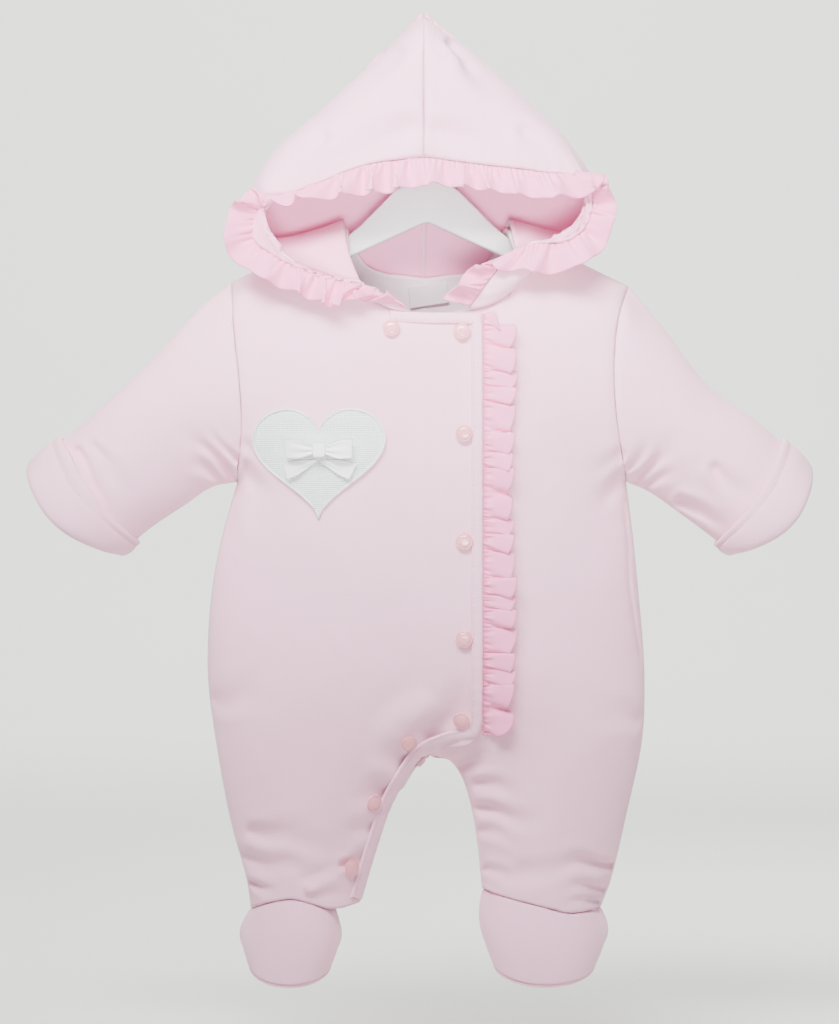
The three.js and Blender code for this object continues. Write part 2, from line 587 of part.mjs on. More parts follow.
/** Sole: a plate that bulges a little, its rim in line with the upper's. */
function sole(who) {
  const foot = FEET[who]
  const n = soleNormal(foot)
  const rim = footRing(foot, 1)
  const middle = rim.reduce((sum, p) => sum.add(p), new THREE.Vector3()).divideScalar(AROUND)
  const ring = (size, drop) => rim.map(p => middle.clone().lerp(p, size).addScaledVector(n, drop))
  const rings = [ring(0.97, SEAM), ring(1.01, SEAM + 1.2), ring(0.93, SOLE_THICK + 0.8),
    ring(0.6, SOLE_THICK + 2)]
  const vertices = rings.flat().concat([middle.clone().addScaledVector(n, SOLE_THICK + 2.4),
    middle.clone().addScaledVector(n, SEAM)]).flatMap(p => [p.x, p.y, p.z])
  const index = []
  const tip = rings.length * AROUND
  const face = (a, b, c) => (who === 'right' ? index.push(a, c, b) : index.push(a, b, c))
  for (let i = 0; i < AROUND; i++) {
    const k = (i + 1) % AROUND
    for (let j = 1; j < rings.length; j++) {
      const a = (j - 1) * AROUND, b = j * AROUND
      face(a + i, a + k, b + k)
      face(a + i, b + k, b + i)
    }
    face(tip - AROUND + i, tip - AROUND + k, tip)
    face(k, i, tip + 1)
  }
  return closed(vertices, index)
}

const outlineLoop = [SHOULDER_NECK.right, ...SLEEVE_TOP.right, ...[...SLEEVE_UNDER.right].reverse(),
  ...SIDE.right, ...[...INNER_LEG.right].reverse(), ...INNER_LEG.left, ...[...SIDE.left].reverse(),
  ...SLEEVE_UNDER.left, ...[...SLEEVE_TOP.left].reverse(), SHOULDER_NECK.left]

/** Whether a point lies within the suit's outline, seen from the front. */
function inside(x, z) {
  let odd = false
  outlineLoop.forEach((a, i) => {
    const b = outlineLoop[(i + 1) % outlineLoop.length]
    if ((a.z > z) !== (b.z > z) && x < a.x + (z - a.z) / (b.z - a.z) * (b.x - a.x)) odd = !odd
  })
  return odd
}

/** Greatest half depth of the suit close to a point. */
function nearDepth(x, z) {
  const e = 4
  const around = [[0, 0], [e, 0], [-e, 0], [0, e], [0, -e]]
  return Math.max(...around.map(([dx, dz]) => (inside(x + dx, z + dz) ? depth(x + dx, z + dz) : 0)))
}

/** Half depth that clears the suit at a point, or 0 beside it. */
function clearance(x, z) {
  return inside(x, z) ? nearDepth(x, z) + HALF_SEAM + HOOD_REST : 0
}

/**
 * A point of the hood, from its front edge (u 0) round its turn (0.5) to the centre of its back (1).
 * v is 0 at the neck and 1 at the top.
 */
function hoodPoint(who, v, u) {
  const sign = who === 'right' ? -1 : 1
  const front = u < 0.5
  if (!front && v > 0.999) return at(sign * HALF_SEAM, PEAK.y, PEAK.z)
  const turn = curve(HOOD_TURN[who]).getPointAt(v)
  const end = front
    ? curve(HOOD_EDGE[who]).getPointAt(v * 0.999)
    : at(sign * HALF_SEAM, THREE.MathUtils.lerp(HOOD_BACK_Y.neck, HOOD_BACK_Y.top, smooth(v * 1.4)),
      THREE.MathUtils.lerp(NECK_BACK[2].z + 0.5, PEAK.z, v))
  const share = front ? u / 0.5 : (1 - u) / 0.5
  const p = end.clone().lerp(turn, Math.sin(Math.PI * share / 2))
  const gap = Math.hypot(p.x - turn.x, p.z - turn.z)
  const round = Math.sqrt(1 - (1 - Math.min(1, gap / HOOD_ROUND)) ** 2)
  p.y = (front ? -1 : 1) * Math.max(Math.abs(end.y) * round, clearance(p.x, p.z))
  return p
}

/** The hood half's grid of points: its lowest row lies along the neck's seam. */
function hoodRows(who) {
  const sign = who === 'right' ? -1 : 1
  const half = HOOD_COLUMNS / 2
  const frontSeam = who === 'right'
    ? [{ x: -9.6, z: -190 }, ...NECK_FRONT.right.slice(0, 4).reverse()]
    : [{ x: 32.2, z: -188.6 }, ...NECK_FRONT.left.slice(1)]
  const backSeam = who === 'right' ? NECK_BACK.slice(0, 3) : NECK_BACK.slice(2).reverse()
  const neck = along(frontSeam, half).concat(along(backSeam, half).slice(1))
  const rows = []
  for (let j = 0; j <= HOOD_ROWS; j++) {
    const v = j / HOOD_ROWS
    rows.push(Array.from({ length: HOOD_COLUMNS + 1 }, (_, i) => {
      const u = i / HOOD_COLUMNS
      const p = hoodPoint(who, v, u)
      const base = hoodPoint(who, 0, u)
      const fade = Math.max(0, 1 - v / 0.34) ** 1.5
      p.x += (neck[i].x - base.x) * fade
      p.z += (neck[i].z - base.z) * fade
      const way = i < half ? -1 : 1
      const carry = depth(neck[i].x, neck[i].z)
      p.y = way * Math.max(Math.abs(p.y), clearance(p.x, p.z))
      if (j === 0) p.y = i === half ? 0 : way * (Math.max(carry, nearDepth(p.x, p.z)) + 2)
      p.z += HOOD_LIFT * smooth(1 - carry / 22) * Math.max(0, 1 - j / HOOD_NECK_ROWS)
      if (i === HOOD_COLUMNS || j === HOOD_ROWS) p.x = sign * HALF_SEAM
      return p
    }))
  }
  return rows
}

/** One half of the hood. */
function hood(who) {
  const sign = who === 'right' ? -1 : 1
  const rows = hoodRows(who)
  const cloth = new Cloth(HOOD_WALL, p => p.setX(sign * Math.max(sign * p.x, HALF_SEAM)))
  cloth.grid(rows, { flip: who === 'right' })
  cloth.hold(rows.map(r => r[HOOD_COLUMNS]), acrossCentre)
  cloth.hold(rows.at(-1), acrossCentre)
  return cloth.solid()
}

/** A gathered strip: thin, with waves that grow from its root to its free edge. */
function frill({ stations, across, thick, flip = false }) {
  const rows = stations.map(place => across.map(t => place(t)))
  const cloth = new Cloth(thick)
  cloth.grid(rows, { flip })
  return cloth.solid()
}

/** Frill under the flap's edge: its root lies on the other front, its waves stand out beside the flap. */
function frontFrill() {
  const { waves, width, root, thick, height } = FRONT_FRILL
  const count = waves * STEPS_A_WAVE
  const stations = Array.from({ length: count + 1 }, (_, i) => t => {
    const s = i / count
    const z = THREE.MathUtils.lerp(FLAP_EDGE[0].z - 0.6, FLAP_EDGE[2].z - 9, s)
    const grow = Math.max(0, t) ** 0.8
    const uneven = 1 + 0.22 * Math.sin(7.3 * s * Math.PI) + 0.12 * Math.sin(23 * s * Math.PI)
    const x = FLAP_X + (t < 0 ? t * root : 0.5 + t * width * (1 + 0.06 * Math.sin(11 * s)) * endFade(s))
    const wave = (1 + Math.sin(2 * Math.PI * waves * s + 0.9 * Math.sin(9 * s))) / 2
    const lift = SEAM + thick + height * uneven * grow * wave + 0.5 * grow
    const slide = 1.6 * grow * Math.cos(2 * Math.PI * waves * s)
    return at(x, -(HALF_SEAM + depth(x, z) + lift), z + slide)
  })
  return frill({ stations, across: [-1, 0, 0.45, 1], thick, flip: true })
}

/** Narrows the frill at both of its ends. */
function endFade(s) {
  return 0.35 + 0.65 * smooth(Math.min(s, 1 - s) / 0.035)
}

/** Frill round the hood's opening, from one side of the neck over the top to the other. */
function hoodFrill() {
  const { waves, width, root, thick, height } = HOOD_FRILL
  const edges = { right: curve(HOOD_EDGE.right), left: curve(HOOD_EDGE.left) }
  const rows = [...HOOD_EDGE.right.slice(0, -1), { lean: 270 }, ...HOOD_EDGE.left.slice(0, -1).reverse()]
  const lean = new THREE.CatmullRomCurve3(rows.map((r, i) => at(i, unwrap(rows, i), 0)), false, 'centripetal')
  const half = HOOD_EDGE.right.length - 1
  const path = new THREE.CatmullRomCurve3([
    ...hoodRows('right').slice(0, -1).map(row => row[0]), at(0, HOOD_EDGE.left[half].y, HOOD_EDGE.left[half].z),
    ...hoodRows('left').slice(0, -1).reverse().map(row => row[0]),
  ])
  const count = waves * STEPS_A_WAVE
  const stations = Array.from({ length: count + 1 }, (_, i) => t => {
    const s = 0.004 + 0.992 * i / count
    const p = path.getPoint(s)
    const who = s < 0.5 ? 'right' : 'left'
    const t0 = edges[who].getUtoTmapping(Math.min(1, 2 * Math.min(s, 1 - s)))
    const angle = THREE.MathUtils.degToRad(lean.getPoint(s < 0.5 ? t0 / 2 : 1 - t0 / 2).y)
    const direction = at(Math.cos(angle), -0.35, Math.sin(angle)).normalize()
    const tangent = path.getTangent(s)
    const normal = direction.clone().cross(tangent).normalize()
    if (normal.y > 0) normal.negate()
    const grow = Math.max(0, t) ** 0.9
    const uneven = 1 + 0.25 * Math.sin(19 * s) + 0.15 * Math.sin(47 * s)
    const wave = Math.sin(2 * Math.PI * waves * s + 0.8 * Math.sin(13 * s)) * height * uneven * grow
    p.addScaledVector(direction, root + t * width * (1 + 0.07 * Math.sin(31 * s)))
    p.addScaledVector(normal, wave)
    p.addScaledVector(tangent, 1.2 * grow * Math.cos(2 * Math.PI * waves * s))
    return p
  })
  return frill({ stations, across: [0.02, 0.5, 1], thick })
}

/** Lean of a row as an angle that runs on without a jump. */
function unwrap(rows, i) {
  let angle = rows[0].lean
  for (let k = 1; k <= i; k++) {
    let step = rows[k].lean - rows[k - 1].lean
    step -= 360 * Math.round(step / 360)
    angle += step
  }
  return angle
}

const BAND_PATH = [
  ...along([{ x: -24, z: -188.8 }, { x: 0, z: -190.5 }, FLAP_EDGE[0]], 6).slice(0, -1),
  ...flapPath.filter((_, i) => i % 3 === 0),
  ...along(INNER_LEG.right.slice(1), ROWS_LEG),
]

/** Binding along the flap's edge: a flat strip on its outside. */
function edgeBinding() {
  const rows = BAND_PATH.map((p, i) => {
    const a = BAND_PATH[Math.max(i - 1, 0)], b = BAND_PATH[Math.min(i + 1, BAND_PATH.length - 1)]
    const inward = at(b.z - a.z, 0, -(b.x - a.x)).normalize()
    return [2.2, BINDING.width / 2, BINDING.width].map(w => {
      const q = at(p.x, 0, p.z).addScaledVector(inward, w)
      const proud = BINDING.proud * smooth(1 - Math.hypot(q.x - BINDING.turnX, q.z - BINDING.turnZ) / 34)
      return onFlap(q.x, q.z, 4 * SEAM + BINDING.thick + proud)
    })
  })
  return new Cloth(BINDING.thick).grid(rows).solid()
}

/** Outward direction of the flap at a point. */
function flapNormal(x, z) {
  const e = 0.8
  const dx = (flapDepth(x + e, z) - flapDepth(x - e, z)) / (2 * e)
  const dz = (flapDepth(x, z + e) - flapDepth(x, z - e)) / (2 * e)
  return at(-dx, -1, -dz).normalize()
}

/** A point out from the flap's surface. */
function onFlap(x, z, out) {
  return at(x, -(HALF_SEAM + flapDepth(x, z)), z).addScaledVector(flapNormal(x, z), out)
}

/** Snap cap: a short stem on the cloth and a domed cap that stands clear of the binding. */
function snap() {
  const { radius, stem, height } = SNAP
  const profile = [[0, 0.35], [stem, 0.35], [stem, 2.3], [radius, 2.4], [radius, 2.9], [radius * 0.72, 3.8],
    [radius * 0.36, height], [0, height]].map(([r, h]) => new THREE.Vector2(r, h))
  return new THREE.LatheGeometry(profile, SNAP.sides)
}

/** Appliqué heart: a thick shape that lies on the flap's cloth. */
function heart() {
  const steps = 32
  const lowest = -17, highest = 12
  const ringAt = size => Array.from({ length: steps }, (_, i) => {
    const t = 2 * Math.PI * i / steps
    const hx = 16 * Math.sin(t) ** 3
    const hz = 13 * Math.cos(t) - 5 * Math.cos(2 * t) - 2 * Math.cos(3 * t) - Math.cos(4 * t)
    return at(HEART.x + size * hx * HEART.width / 32, 0,
      HEART.z + size * (hz - (lowest + highest) / 2) * HEART.height / (highest - lowest))
  })
  const sizes = [1, 0.98, 0.7, 0.36]
  const outer = sizes.map(ringAt)
  const place = (p, out) => onFlap(p.x, p.z, out)
  const heights = [SEAM + 0.9, SEAM + HEART.thick, SEAM + HEART.thick + 0.8, SEAM + HEART.thick + 1]
  const middle = at(HEART.x, 0, HEART.z + 4)
  const vertices = [
    ...outer.flatMap((ring, j) => ring.map(p => place(p, heights[j]))), place(middle, SEAM + HEART.thick + 1),
    ...outer.flatMap(ring => ring.map(p => place(p, 2 * SEAM))), place(middle, 2 * SEAM),
  ].flatMap(p => [p.x, p.y, p.z])
  const layer = sizes.length * steps + 1
  const index = []
  for (let i = 0; i < steps; i++) {
    const k = (i + 1) % steps
    for (let j = 1; j < sizes.length; j++) {
      const a = (j - 1) * steps, b = j * steps
      index.push(a + i, b + k, a + k, a + i, b + i, b + k)
      index.push(layer + a + i, layer + a + k, layer + b + k, layer + a + i, layer + b + k, layer + b + i)
    }
    const c = (sizes.length - 1) * steps
    index.push(c + i, layer - 1, c + k, layer + c + i, layer + c + k, 2 * layer - 1)
    index.push(i, k, layer + k, i, layer + k, layer + i)
  }
  return closed(vertices, index)
}

/** How far out the heart's face lies at a point. */
const bowBase = (x, z) => HALF_SEAM + flapDepth(x, z) + SEAM + HEART.thick + 1.3

/** A bow's loop: a flat ribbon tube that leaves the knot, widens and comes back. */
function bowLoop(sign) {
  const steps = 10
  const around = Array.from({ length: steps }, (_, i) => {
    const t = 2 * Math.PI * i / steps
    const reach = BOW.knot - 0.1 + (BOW.half - BOW.knot) * (1 - Math.cos(t)) / 2
    return { reach, out: 4 + 3 * Math.sin(t) }
  })
  const rows = around.map(({ reach, out }) => [-1, 0, 1].map(side => {
    const wide = THREE.MathUtils.lerp(4, BOW.ribbon / 2, smooth((reach - BOW.knot) / 12))
    const x = BOW.x + sign * reach
    const z = BOW.z + side * wide + 1.5 * Math.max(0, reach - 10) / 20
    return at(x, -(bowBase(x, z) + out), z)
  }))
  const cloth = new Cloth(BOW.thick)
  cloth.grid([...rows, rows[0]], { flip: sign > 0 })
  return cloth.solid()
}

/** A bow's tail: a flat ribbon that hangs down and out from under the knot. */
function bowTail(sign) {
  const rows = [0, 0.35, 0.7, 1].map(t => [-1, 1].map(side => {
    const x = BOW.x + sign * (1.2 + 23 * t) + side * 0.5
    const z = BOW.z - 7.6 - 7 * t + side * THREE.MathUtils.lerp(1.8, 6, t) * 0.9
    return at(x, -(bowBase(x, z) - 0.9 + BOW.thick), z)
  }))
  return new Cloth(BOW.thick).grid(rows, { flip: sign < 0 }).solid()
}

/** The knot: a pillow of ribbon in front of where the loops meet. */
function bowKnot() {
  const geometry = new THREE.SphereGeometry(1, 10, 6)
  geometry.scale(BOW.knot - 0.2, 3.4, 5.4)
  geometry.translate(BOW.x, -(bowBase(BOW.x, BOW.z) + 4), BOW.z)
  return geometry
}

/** The blank label sewn inside the back of the neck. */
function neckLabel() {
  const rows = [0, 0.5, 1].map(t => [-1, 0, 1].map(side => {
    const x = LABEL.x + side * LABEL.half + t * 1.6
    const z = LABEL.z + side * LABEL.tilt - t * LABEL.tall
    return at(x, depth(x, z) - WALL - 4 * SEAM, z)
  }))
  return new Cloth(LABEL.thick).grid(rows, { flip: true }).solid()
}

/** Height of the board's upper edge under a shoulder, at a distance from its centre. */
function shoulderLine(away) {
  const tip = SHOULDER_TIP.right, neck = SHOULDER_NECK.right
  const slope = (neck.z - tip.z) / (neck.x - tip.x)
  return neck.z - BOARD.inset * Math.hypot(1, slope) + slope * (BOARD.centre - neck.x - away)
}

/** Hanger: a flat board under both shoulders with a crown between them, with a bevel all round. */
function hanger() {
  const { thick, reach, end, tip, bevel } = BOARD
  const low = shoulderLine(reach)
  const rows = [[reach, low], [CROWN.shoulder, shoulderLine(CROWN.shoulder)], [CROWN.foot.away, CROWN.foot.z],
    [CROWN.side.away, CROWN.side.z]]
  const shape = new THREE.Shape()
  shape.moveTo(-reach, low)
  for (const [away, z] of rows.slice(1)) shape.lineTo(-away, z)
  shape.quadraticCurveTo(0, 2 * CROWN.top - CROWN.side.z, CROWN.side.away, CROWN.side.z)
  for (const [away, z] of rows.reverse().slice(1)) shape.lineTo(away, z)
  shape.quadraticCurveTo(reach + tip, low - 6, reach, low - end)
  shape.lineTo(ARCH.side.away, ARCH.side.z)
  shape.lineTo(0, ARCH.top)
  shape.lineTo(-ARCH.side.away, ARCH.side.z)
  shape.lineTo(-reach, low - end)
  shape.quadraticCurveTo(-reach - tip, low - 6, -reach, low)
  const geometry = new THREE.ExtrudeGeometry(shape, {
    depth: thick - 2 * bevel, bevelEnabled: true, bevelThickness: bevel, bevelSize: bevel, bevelOffset: -bevel,
    bevelSegments: 1, curveSegments: 6,
  })
  geometry.rotateX(Math.PI / 2)
  geometry.translate(BOARD.centre, thick / 2 - bevel, 0)
  return geometry
}

/** Hook: a bent wire whose top is the origin's height, standing on the board's upper edge. */
function hook() {
  const { centre } = BOARD
  const points = []
  const r = HOOK.radius
  const middle = -r - HOOK.wire
  for (let a = 215; a >= -90; a -= 15) {
    const t = THREE.MathUtils.degToRad(a)
    points.push(at(r * Math.cos(t), 0, middle + r * Math.sin(t)))
  }
  points.push(at(centre - 1, 0, middle - r - 12), at(centre, 0, middle - r - 24), at(centre, 0, CROWN.top + SEAM))
  const path = new THREE.CatmullRomCurve3(points, false, 'centripetal')
  const round = new THREE.Shape().absarc(0, 0, HOOK.wire, 0, 2 * Math.PI)
  return new THREE.ExtrudeGeometry(round, { steps: 28, curveSegments: 3, extrudePath: path })
}

const COLOURS = {
  body: 0xebd8e2, hood: 0xe6d0dc, sleeve: 0xe3d6e0, cuff: 0xdcccd6, foot: 0xd9c5c8, frill: 0xeed3e0,
  snap: 0xe9cbd2, heart: 0xf2f4f2, ribbon: 0xfafafa, wood: 0xf4f2f0, metal: 0xc9c9cc, label: 0xf3eef0,
}
const cloth = (color, roughness = 0.92) => new THREE.MeshStandardMaterial({ color, roughness, metalness: 0 })
const metal = new THREE.MeshStandardMaterial({ color: COLOURS.metal, roughness: 0.3, metalness: 1 })

const suit = new THREE.Group()
function add(name, geometry, material) {
  const mesh = new THREE.Mesh(geometry, material)
  mesh.name = name
  suit.add(mesh)
  return mesh
}

add('front_right', frontRight(), cloth(COLOURS.body))
add('front_left', frontLeft(), cloth(COLOURS.body))
add('back', back(), cloth(COLOURS.body))
for (const who of ['right', 'left']) {
  add(`sleeve_${who}`, sleeve(who), cloth(COLOURS.sleeve))
  add(`cuff_${who}`, cuff(who), cloth(COLOURS.cuff))
  add(`foot_upper_${who}`, footUpper(who), cloth(COLOURS.foot))
  add(`sole_${who}`, sole(who), cloth(COLOURS.foot))
  add(`hood_${who}`, hood(who), cloth(COLOURS.hood))
}
add('hood_frill', hoodFrill(), cloth(COLOURS.frill))
add('front_frill', frontFrill(), cloth(COLOURS.frill))
add('edge_binding', edgeBinding(), cloth(COLOURS.body))
SNAPS.forEach(({ x, z }, i) => {
  const mesh = add(`snap_${i + 1}`, snap(), cloth(COLOURS.snap, 0.3))
  mesh.quaternion.setFromUnitVectors(at(0, 1, 0), flapNormal(x, z))
  mesh.position.set(x, -(HALF_SEAM + flapDepth(x, z)), z)
})
add('heart', heart(), cloth(COLOURS.heart, 0.98))
for (const [side, sign] of [['right', -1], ['left', 1]]) {
  add(`bow_loop_${side}`, bowLoop(sign), cloth(COLOURS.ribbon, 0.4))
  add(`bow_tail_${side}`, bowTail(sign), cloth(COLOURS.ribbon, 0.4))
}
add('bow_knot', bowKnot(), cloth(COLOURS.ribbon, 0.4))
add('neck_label', neckLabel(), cloth(COLOURS.label))
add('hanger', hanger(), cloth(COLOURS.wood, 0.5))
add('hook', hook(), metal)

export default suit
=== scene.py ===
"""Looks of a baby's hooded padded snowsuit that hangs on a child's coat hanger.

Tables and sizes are in millimetres, +Z up, with the front towards -Y and the origin at the top of the hook.
Right and left are the wearer's, so the right side lies at -X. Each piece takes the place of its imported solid.
"""

from __future__ import annotations

import logging
import math
from dataclasses import dataclass
from enum import Enum
from typing import Callable, Sequence

import bpy
import numpy as np
from mathutils import Matrix, Vector

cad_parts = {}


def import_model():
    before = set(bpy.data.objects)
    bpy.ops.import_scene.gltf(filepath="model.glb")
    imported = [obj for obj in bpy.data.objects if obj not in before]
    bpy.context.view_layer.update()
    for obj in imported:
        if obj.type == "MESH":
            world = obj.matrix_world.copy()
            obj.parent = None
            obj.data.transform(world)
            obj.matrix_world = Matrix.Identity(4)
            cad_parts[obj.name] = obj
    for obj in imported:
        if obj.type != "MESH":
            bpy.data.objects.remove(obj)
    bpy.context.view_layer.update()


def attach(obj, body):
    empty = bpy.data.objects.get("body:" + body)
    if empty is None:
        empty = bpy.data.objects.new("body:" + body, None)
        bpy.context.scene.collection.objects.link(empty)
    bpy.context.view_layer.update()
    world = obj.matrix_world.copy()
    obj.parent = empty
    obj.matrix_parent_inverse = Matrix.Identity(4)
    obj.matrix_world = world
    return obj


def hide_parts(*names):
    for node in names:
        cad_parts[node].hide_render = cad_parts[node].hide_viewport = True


log = logging.getLogger("snowsuit")

Array = np.ndarray
Rows = Sequence[tuple[float, ...]]

MM = 0.001
SEAM = 0.3
HALF_SEAM = 0.15
WALL = 3.0
HOOD_WALL = 2.4
FLAP_X = 41.8
UNDERLAP_X = 21.6
HOOD_REST = 2.6
CREASE_STRENGTH = 3.3


class Side(Enum):
    """The wearer's side; the right one lies at -X."""

    RIGHT = "right"
    LEFT = "left"

    @property
    def sign(self) -> float:
        """Direction of this side along X."""
        return -1.0 if self is Side.RIGHT else 1.0


# Seams and edges seen from the front, as (x, z), or (x, z, y) where they leave the plane
SHOULDER_NECK = {Side.RIGHT: (-56.9, -127.4), Side.LEFT: (60.5, -127.4)}
SHOULDER_TIP = {Side.RIGHT: (-138.7, -167.3), Side.LEFT: (147.3, -170.3)}
ARMPIT = {Side.RIGHT: (-134.6, -311.5), Side.LEFT: (145.4, -311.5)}
ARMHOLE = {
    Side.RIGHT: [SHOULDER_TIP[Side.RIGHT], (-136, -199.4), (-131.4, -240), (-130, -275), ARMPIT[Side.RIGHT]],
    Side.LEFT: [SHOULDER_TIP[Side.LEFT], (139, -194), (135.4, -232), (138, -272), ARMPIT[Side.LEFT]],
}
SLEEVE_TOP = {
    Side.RIGHT: [SHOULDER_TIP[Side.RIGHT], (-161.3, -186.5), (-204.5, -231.8), (-247.7, -271.4),
                 (-285.8, -302.4)],
    Side.LEFT: [SHOULDER_TIP[Side.LEFT], (169.9, -197.3), (206, -243), (241.9, -269.3), (279.5, -305)],
}
SLEEVE_UNDER = {
    Side.RIGHT: [ARMPIT[Side.RIGHT], (-151.2, -314.4), (-171.7, -327.6), (-198, -345.4), (-218.9, -363.6)],
    Side.LEFT: [ARMPIT[Side.LEFT], (160.6, -317.6), (185.5, -334.8), (205.9, -350), (222.5, -363.2)],
}
SIDE = {
    Side.RIGHT: [ARMPIT[Side.RIGHT], (-146.9, -357), (-153.4, -396), (-155.5, -450), (-149.8, -497),
                 (-139.3, -554), (-127.4, -598), (-124.8, -616.6)],
    Side.LEFT: [ARMPIT[Side.LEFT], (149, -338), (153.7, -382), (158.8, -450), (157, -497),
                (146.5, -547), (134.3, -598), (127.6, -615.6)],
}
CROTCH = (4.6, -507.6)
INNER_LEG = {
    Side.RIGHT: [CROTCH, (-5.4, -511.2), (-20.2, -534.7), (-34.2, -573.8), (-45.7, -612.7)],
    Side.LEFT: [CROTCH, (20.2, -512.6), (31, -533.5), (37.6, -565), (41.6, -602.3)],
}
ANKLE = {
    Side.RIGHT: [SIDE[Side.RIGHT][7], (-109.4, -611), (-92.4, -608.4), (-64.8, -615.2), (-45.7, -612.7)],
    Side.LEFT: [INNER_LEG[Side.LEFT][4], (63.4, -608.4), (85, -613.4), (104.4, -618), SIDE[Side.LEFT][7]],
}
ANKLE_BACK_DROP = 6.0
NECK_FRONT = {
    Side.RIGHT: [SHOULDER_NECK[Side.RIGHT], (-54, -146), (-39, -178.6), (-21, -189), (FLAP_X, -191.5)],
    Side.LEFT: [(UNDERLAP_X, -190), (46, -186), (64, -173), (66, -150), SHOULDER_NECK[Side.LEFT]],
}
NECK_BACK = [SHOULDER_NECK[Side.RIGHT], (-40, -154), (0, -162), (42, -154), SHOULDER_NECK[Side.LEFT]]
FLAP_EDGE = [(FLAP_X, -191.5), (FLAP_X, -340), (FLAP_X, -482.4), (38.6, -492.6), (20.2, -496.8), (2.6, -504)]
UNDERLAP = [(UNDERLAP_X, -190), (UNDERLAP_X, -340), (UNDERLAP_X, -478), (14, -499), CROTCH]
BAND_LINE = [(-24, -188.8), (0, -190.5), (34, -191.4), (39.4, -193.2), (41.4, -198), (41.8, -206), (41.8, -340),
             (41.8, -470), (41.4, -484), (37.5, -492.6), (20.2, -496.8), (2.6, -504), (-5.4, -511.2),
             (-20.2, -534.7), (-34.2, -573.8), (-45.2, -610.7)]
SIDE_SEAM_LEFT = [(145.6, -318), (144.5, -333), (146.9, -357), (146.9, -377), (150.3, -405), (155.5, -436)]

# Largest folds of the body and legs, as in the solids: x0, z0, x1, z1, width, depth
FOLDS = [
    (-128, -588, -88, -600, 13, 4), (-118, -566, -62, -574, 15, 3), (42, -548, 78, -553, 12, 3),
    (70, -590, 128, -583, 13, 3.5), (-140, -312, -168, -278, 13, 3), (151, -313, 178, -282, 13, 3),
]
# Small creases of the front: x0, z0, x1, z1, width, depth (a negative depth is a ridge)
FRONT_CREASES = [
    (-127, -597, -105, -604, 3.2, 2.4), (-137, -577, -70, -593, 6.0, 1.8), (-82, -601, -56, -592, 5.0, -1.4),
    (-122, -560, -84, -563, 7.0, 1.0), (-60, -583, -42, -578, 4.0, 1.0), (36, -527, 62, -532, 5.0, 1.2),
    (39, -545, 72, -553, 5.0, 1.4), (42, -562, 66, -564, 5.0, 1.2), (133, -586, 96, -582, 4.6, 2.0),
    (129, -603, 102, -600, 3.6, 1.6), (126, -612, 100, -611, 3.0, 1.2), (44, -590, 66, -594, 4.0, 1.2),
    (6, -492, 36, -458, 12, 1.6), (-137, -306, -161, -282, 3.8, 1.9), (-135, -294, -154, -275, 3.2, 1.3),
    (-141, -312, -168, -297, 3.6, 1.5), (147, -312, 170, -291, 3.8, 2.0), (149, -316, 178, -305, 3.6, 1.6),
    (144, -300, 160, -281, 3.4, 1.2), (-249, -290, -223, -336, 5.0, 1.9), (-237, -288, -214, -322, 6.5, 1.1),
    (184, -326, 215, -341, 5.0, 1.9), (206, -300, 232, -324, 6.0, 1.3), (-137, -318, -151, -370, 8.0, 1.3),
    (-129, -300, -112, -322, 6.0, 1.1), (-128, -284, -108, -296, 5.0, 0.8), (141, -306, 126, -330, 6.0, 1.1),
    (139, -290, 122, -304, 5.0, 0.8), (-150, -470, -120, -455, 9.0, 0.9), (154, -480, 124, -470, 9.0, 1.0),
    (-20, -540, -48, -528, 7.0, 1.3), (-30, -562, -58, -556, 6.0, 1.0), (20, -516, 44, -508, 6.0, 1.4),
    (-8, -514, -38, -500, 8.0, 1.2), (-140, -172, -176, -214, 9.0, 0.9), (148, -176, 180, -222, 9.0, 0.9),
]
# Small creases of the back, of the same kinds
BACK_CREASES = [
    (-126, -592, -96, -600, 3.6, 2.0), (-134, -573, -78, -583, 6.0, 1.7), (-58, -590, -84, -598, 4.6, 1.4),
    (44, -588, 78, -594, 4.6, 1.6), (132, -590, 98, -584, 4.4, 1.8), (38, -560, 74, -566, 6.0, 1.4),
    (134, -566, 104, -560, 7.0, 1.1), (-28, -556, -62, -548, 6.0, 1.4), (8, -506, 46, -486, 8.0, 1.8),
    (2, -506, -40, -484, 8.0, 1.8), (30, -528, 58, -518, 6.0, 1.2), (-22, -532, -56, -520, 6.0, 1.3),
    (-136, -304, -162, -280, 3.8, 1.8), (-141, -311, -170, -300, 3.4, 1.4), (147, -311, 171, -290, 3.8, 1.8),
    (150, -316, 180, -306, 3.4, 1.4), (-247, -292, -222, -334, 5.0, 1.7), (204, -302, 226, -334, 5.0, 1.7),
    (-131, -298, -108, -326, 7.0, 1.2), (141, -302, 118, -330, 7.0, 1.2), (-60, -190, -20, -206, 10, 0.9),
    (64, -192, 26, -210, 10, 0.9), (-150, -452, -112, -438, 9.0, 1.0), (156, -462, 120, -446, 9.0, 1.0),
]

FEET = {
    Side.RIGHT: {"inner": -64.2, "outer": -125.0, "x": -95.6, "y": -16.0, "z": -652.0,
                 "half_width": 31.0, "half_length": 42.0, "dip": 15.0},
    Side.LEFT: {"inner": 42.2, "outer": 127.4, "x": 86.0, "y": -16.0, "z": -651.5,
                "half_width": 38.0, "half_length": 44.0, "dip": 15.0},
}

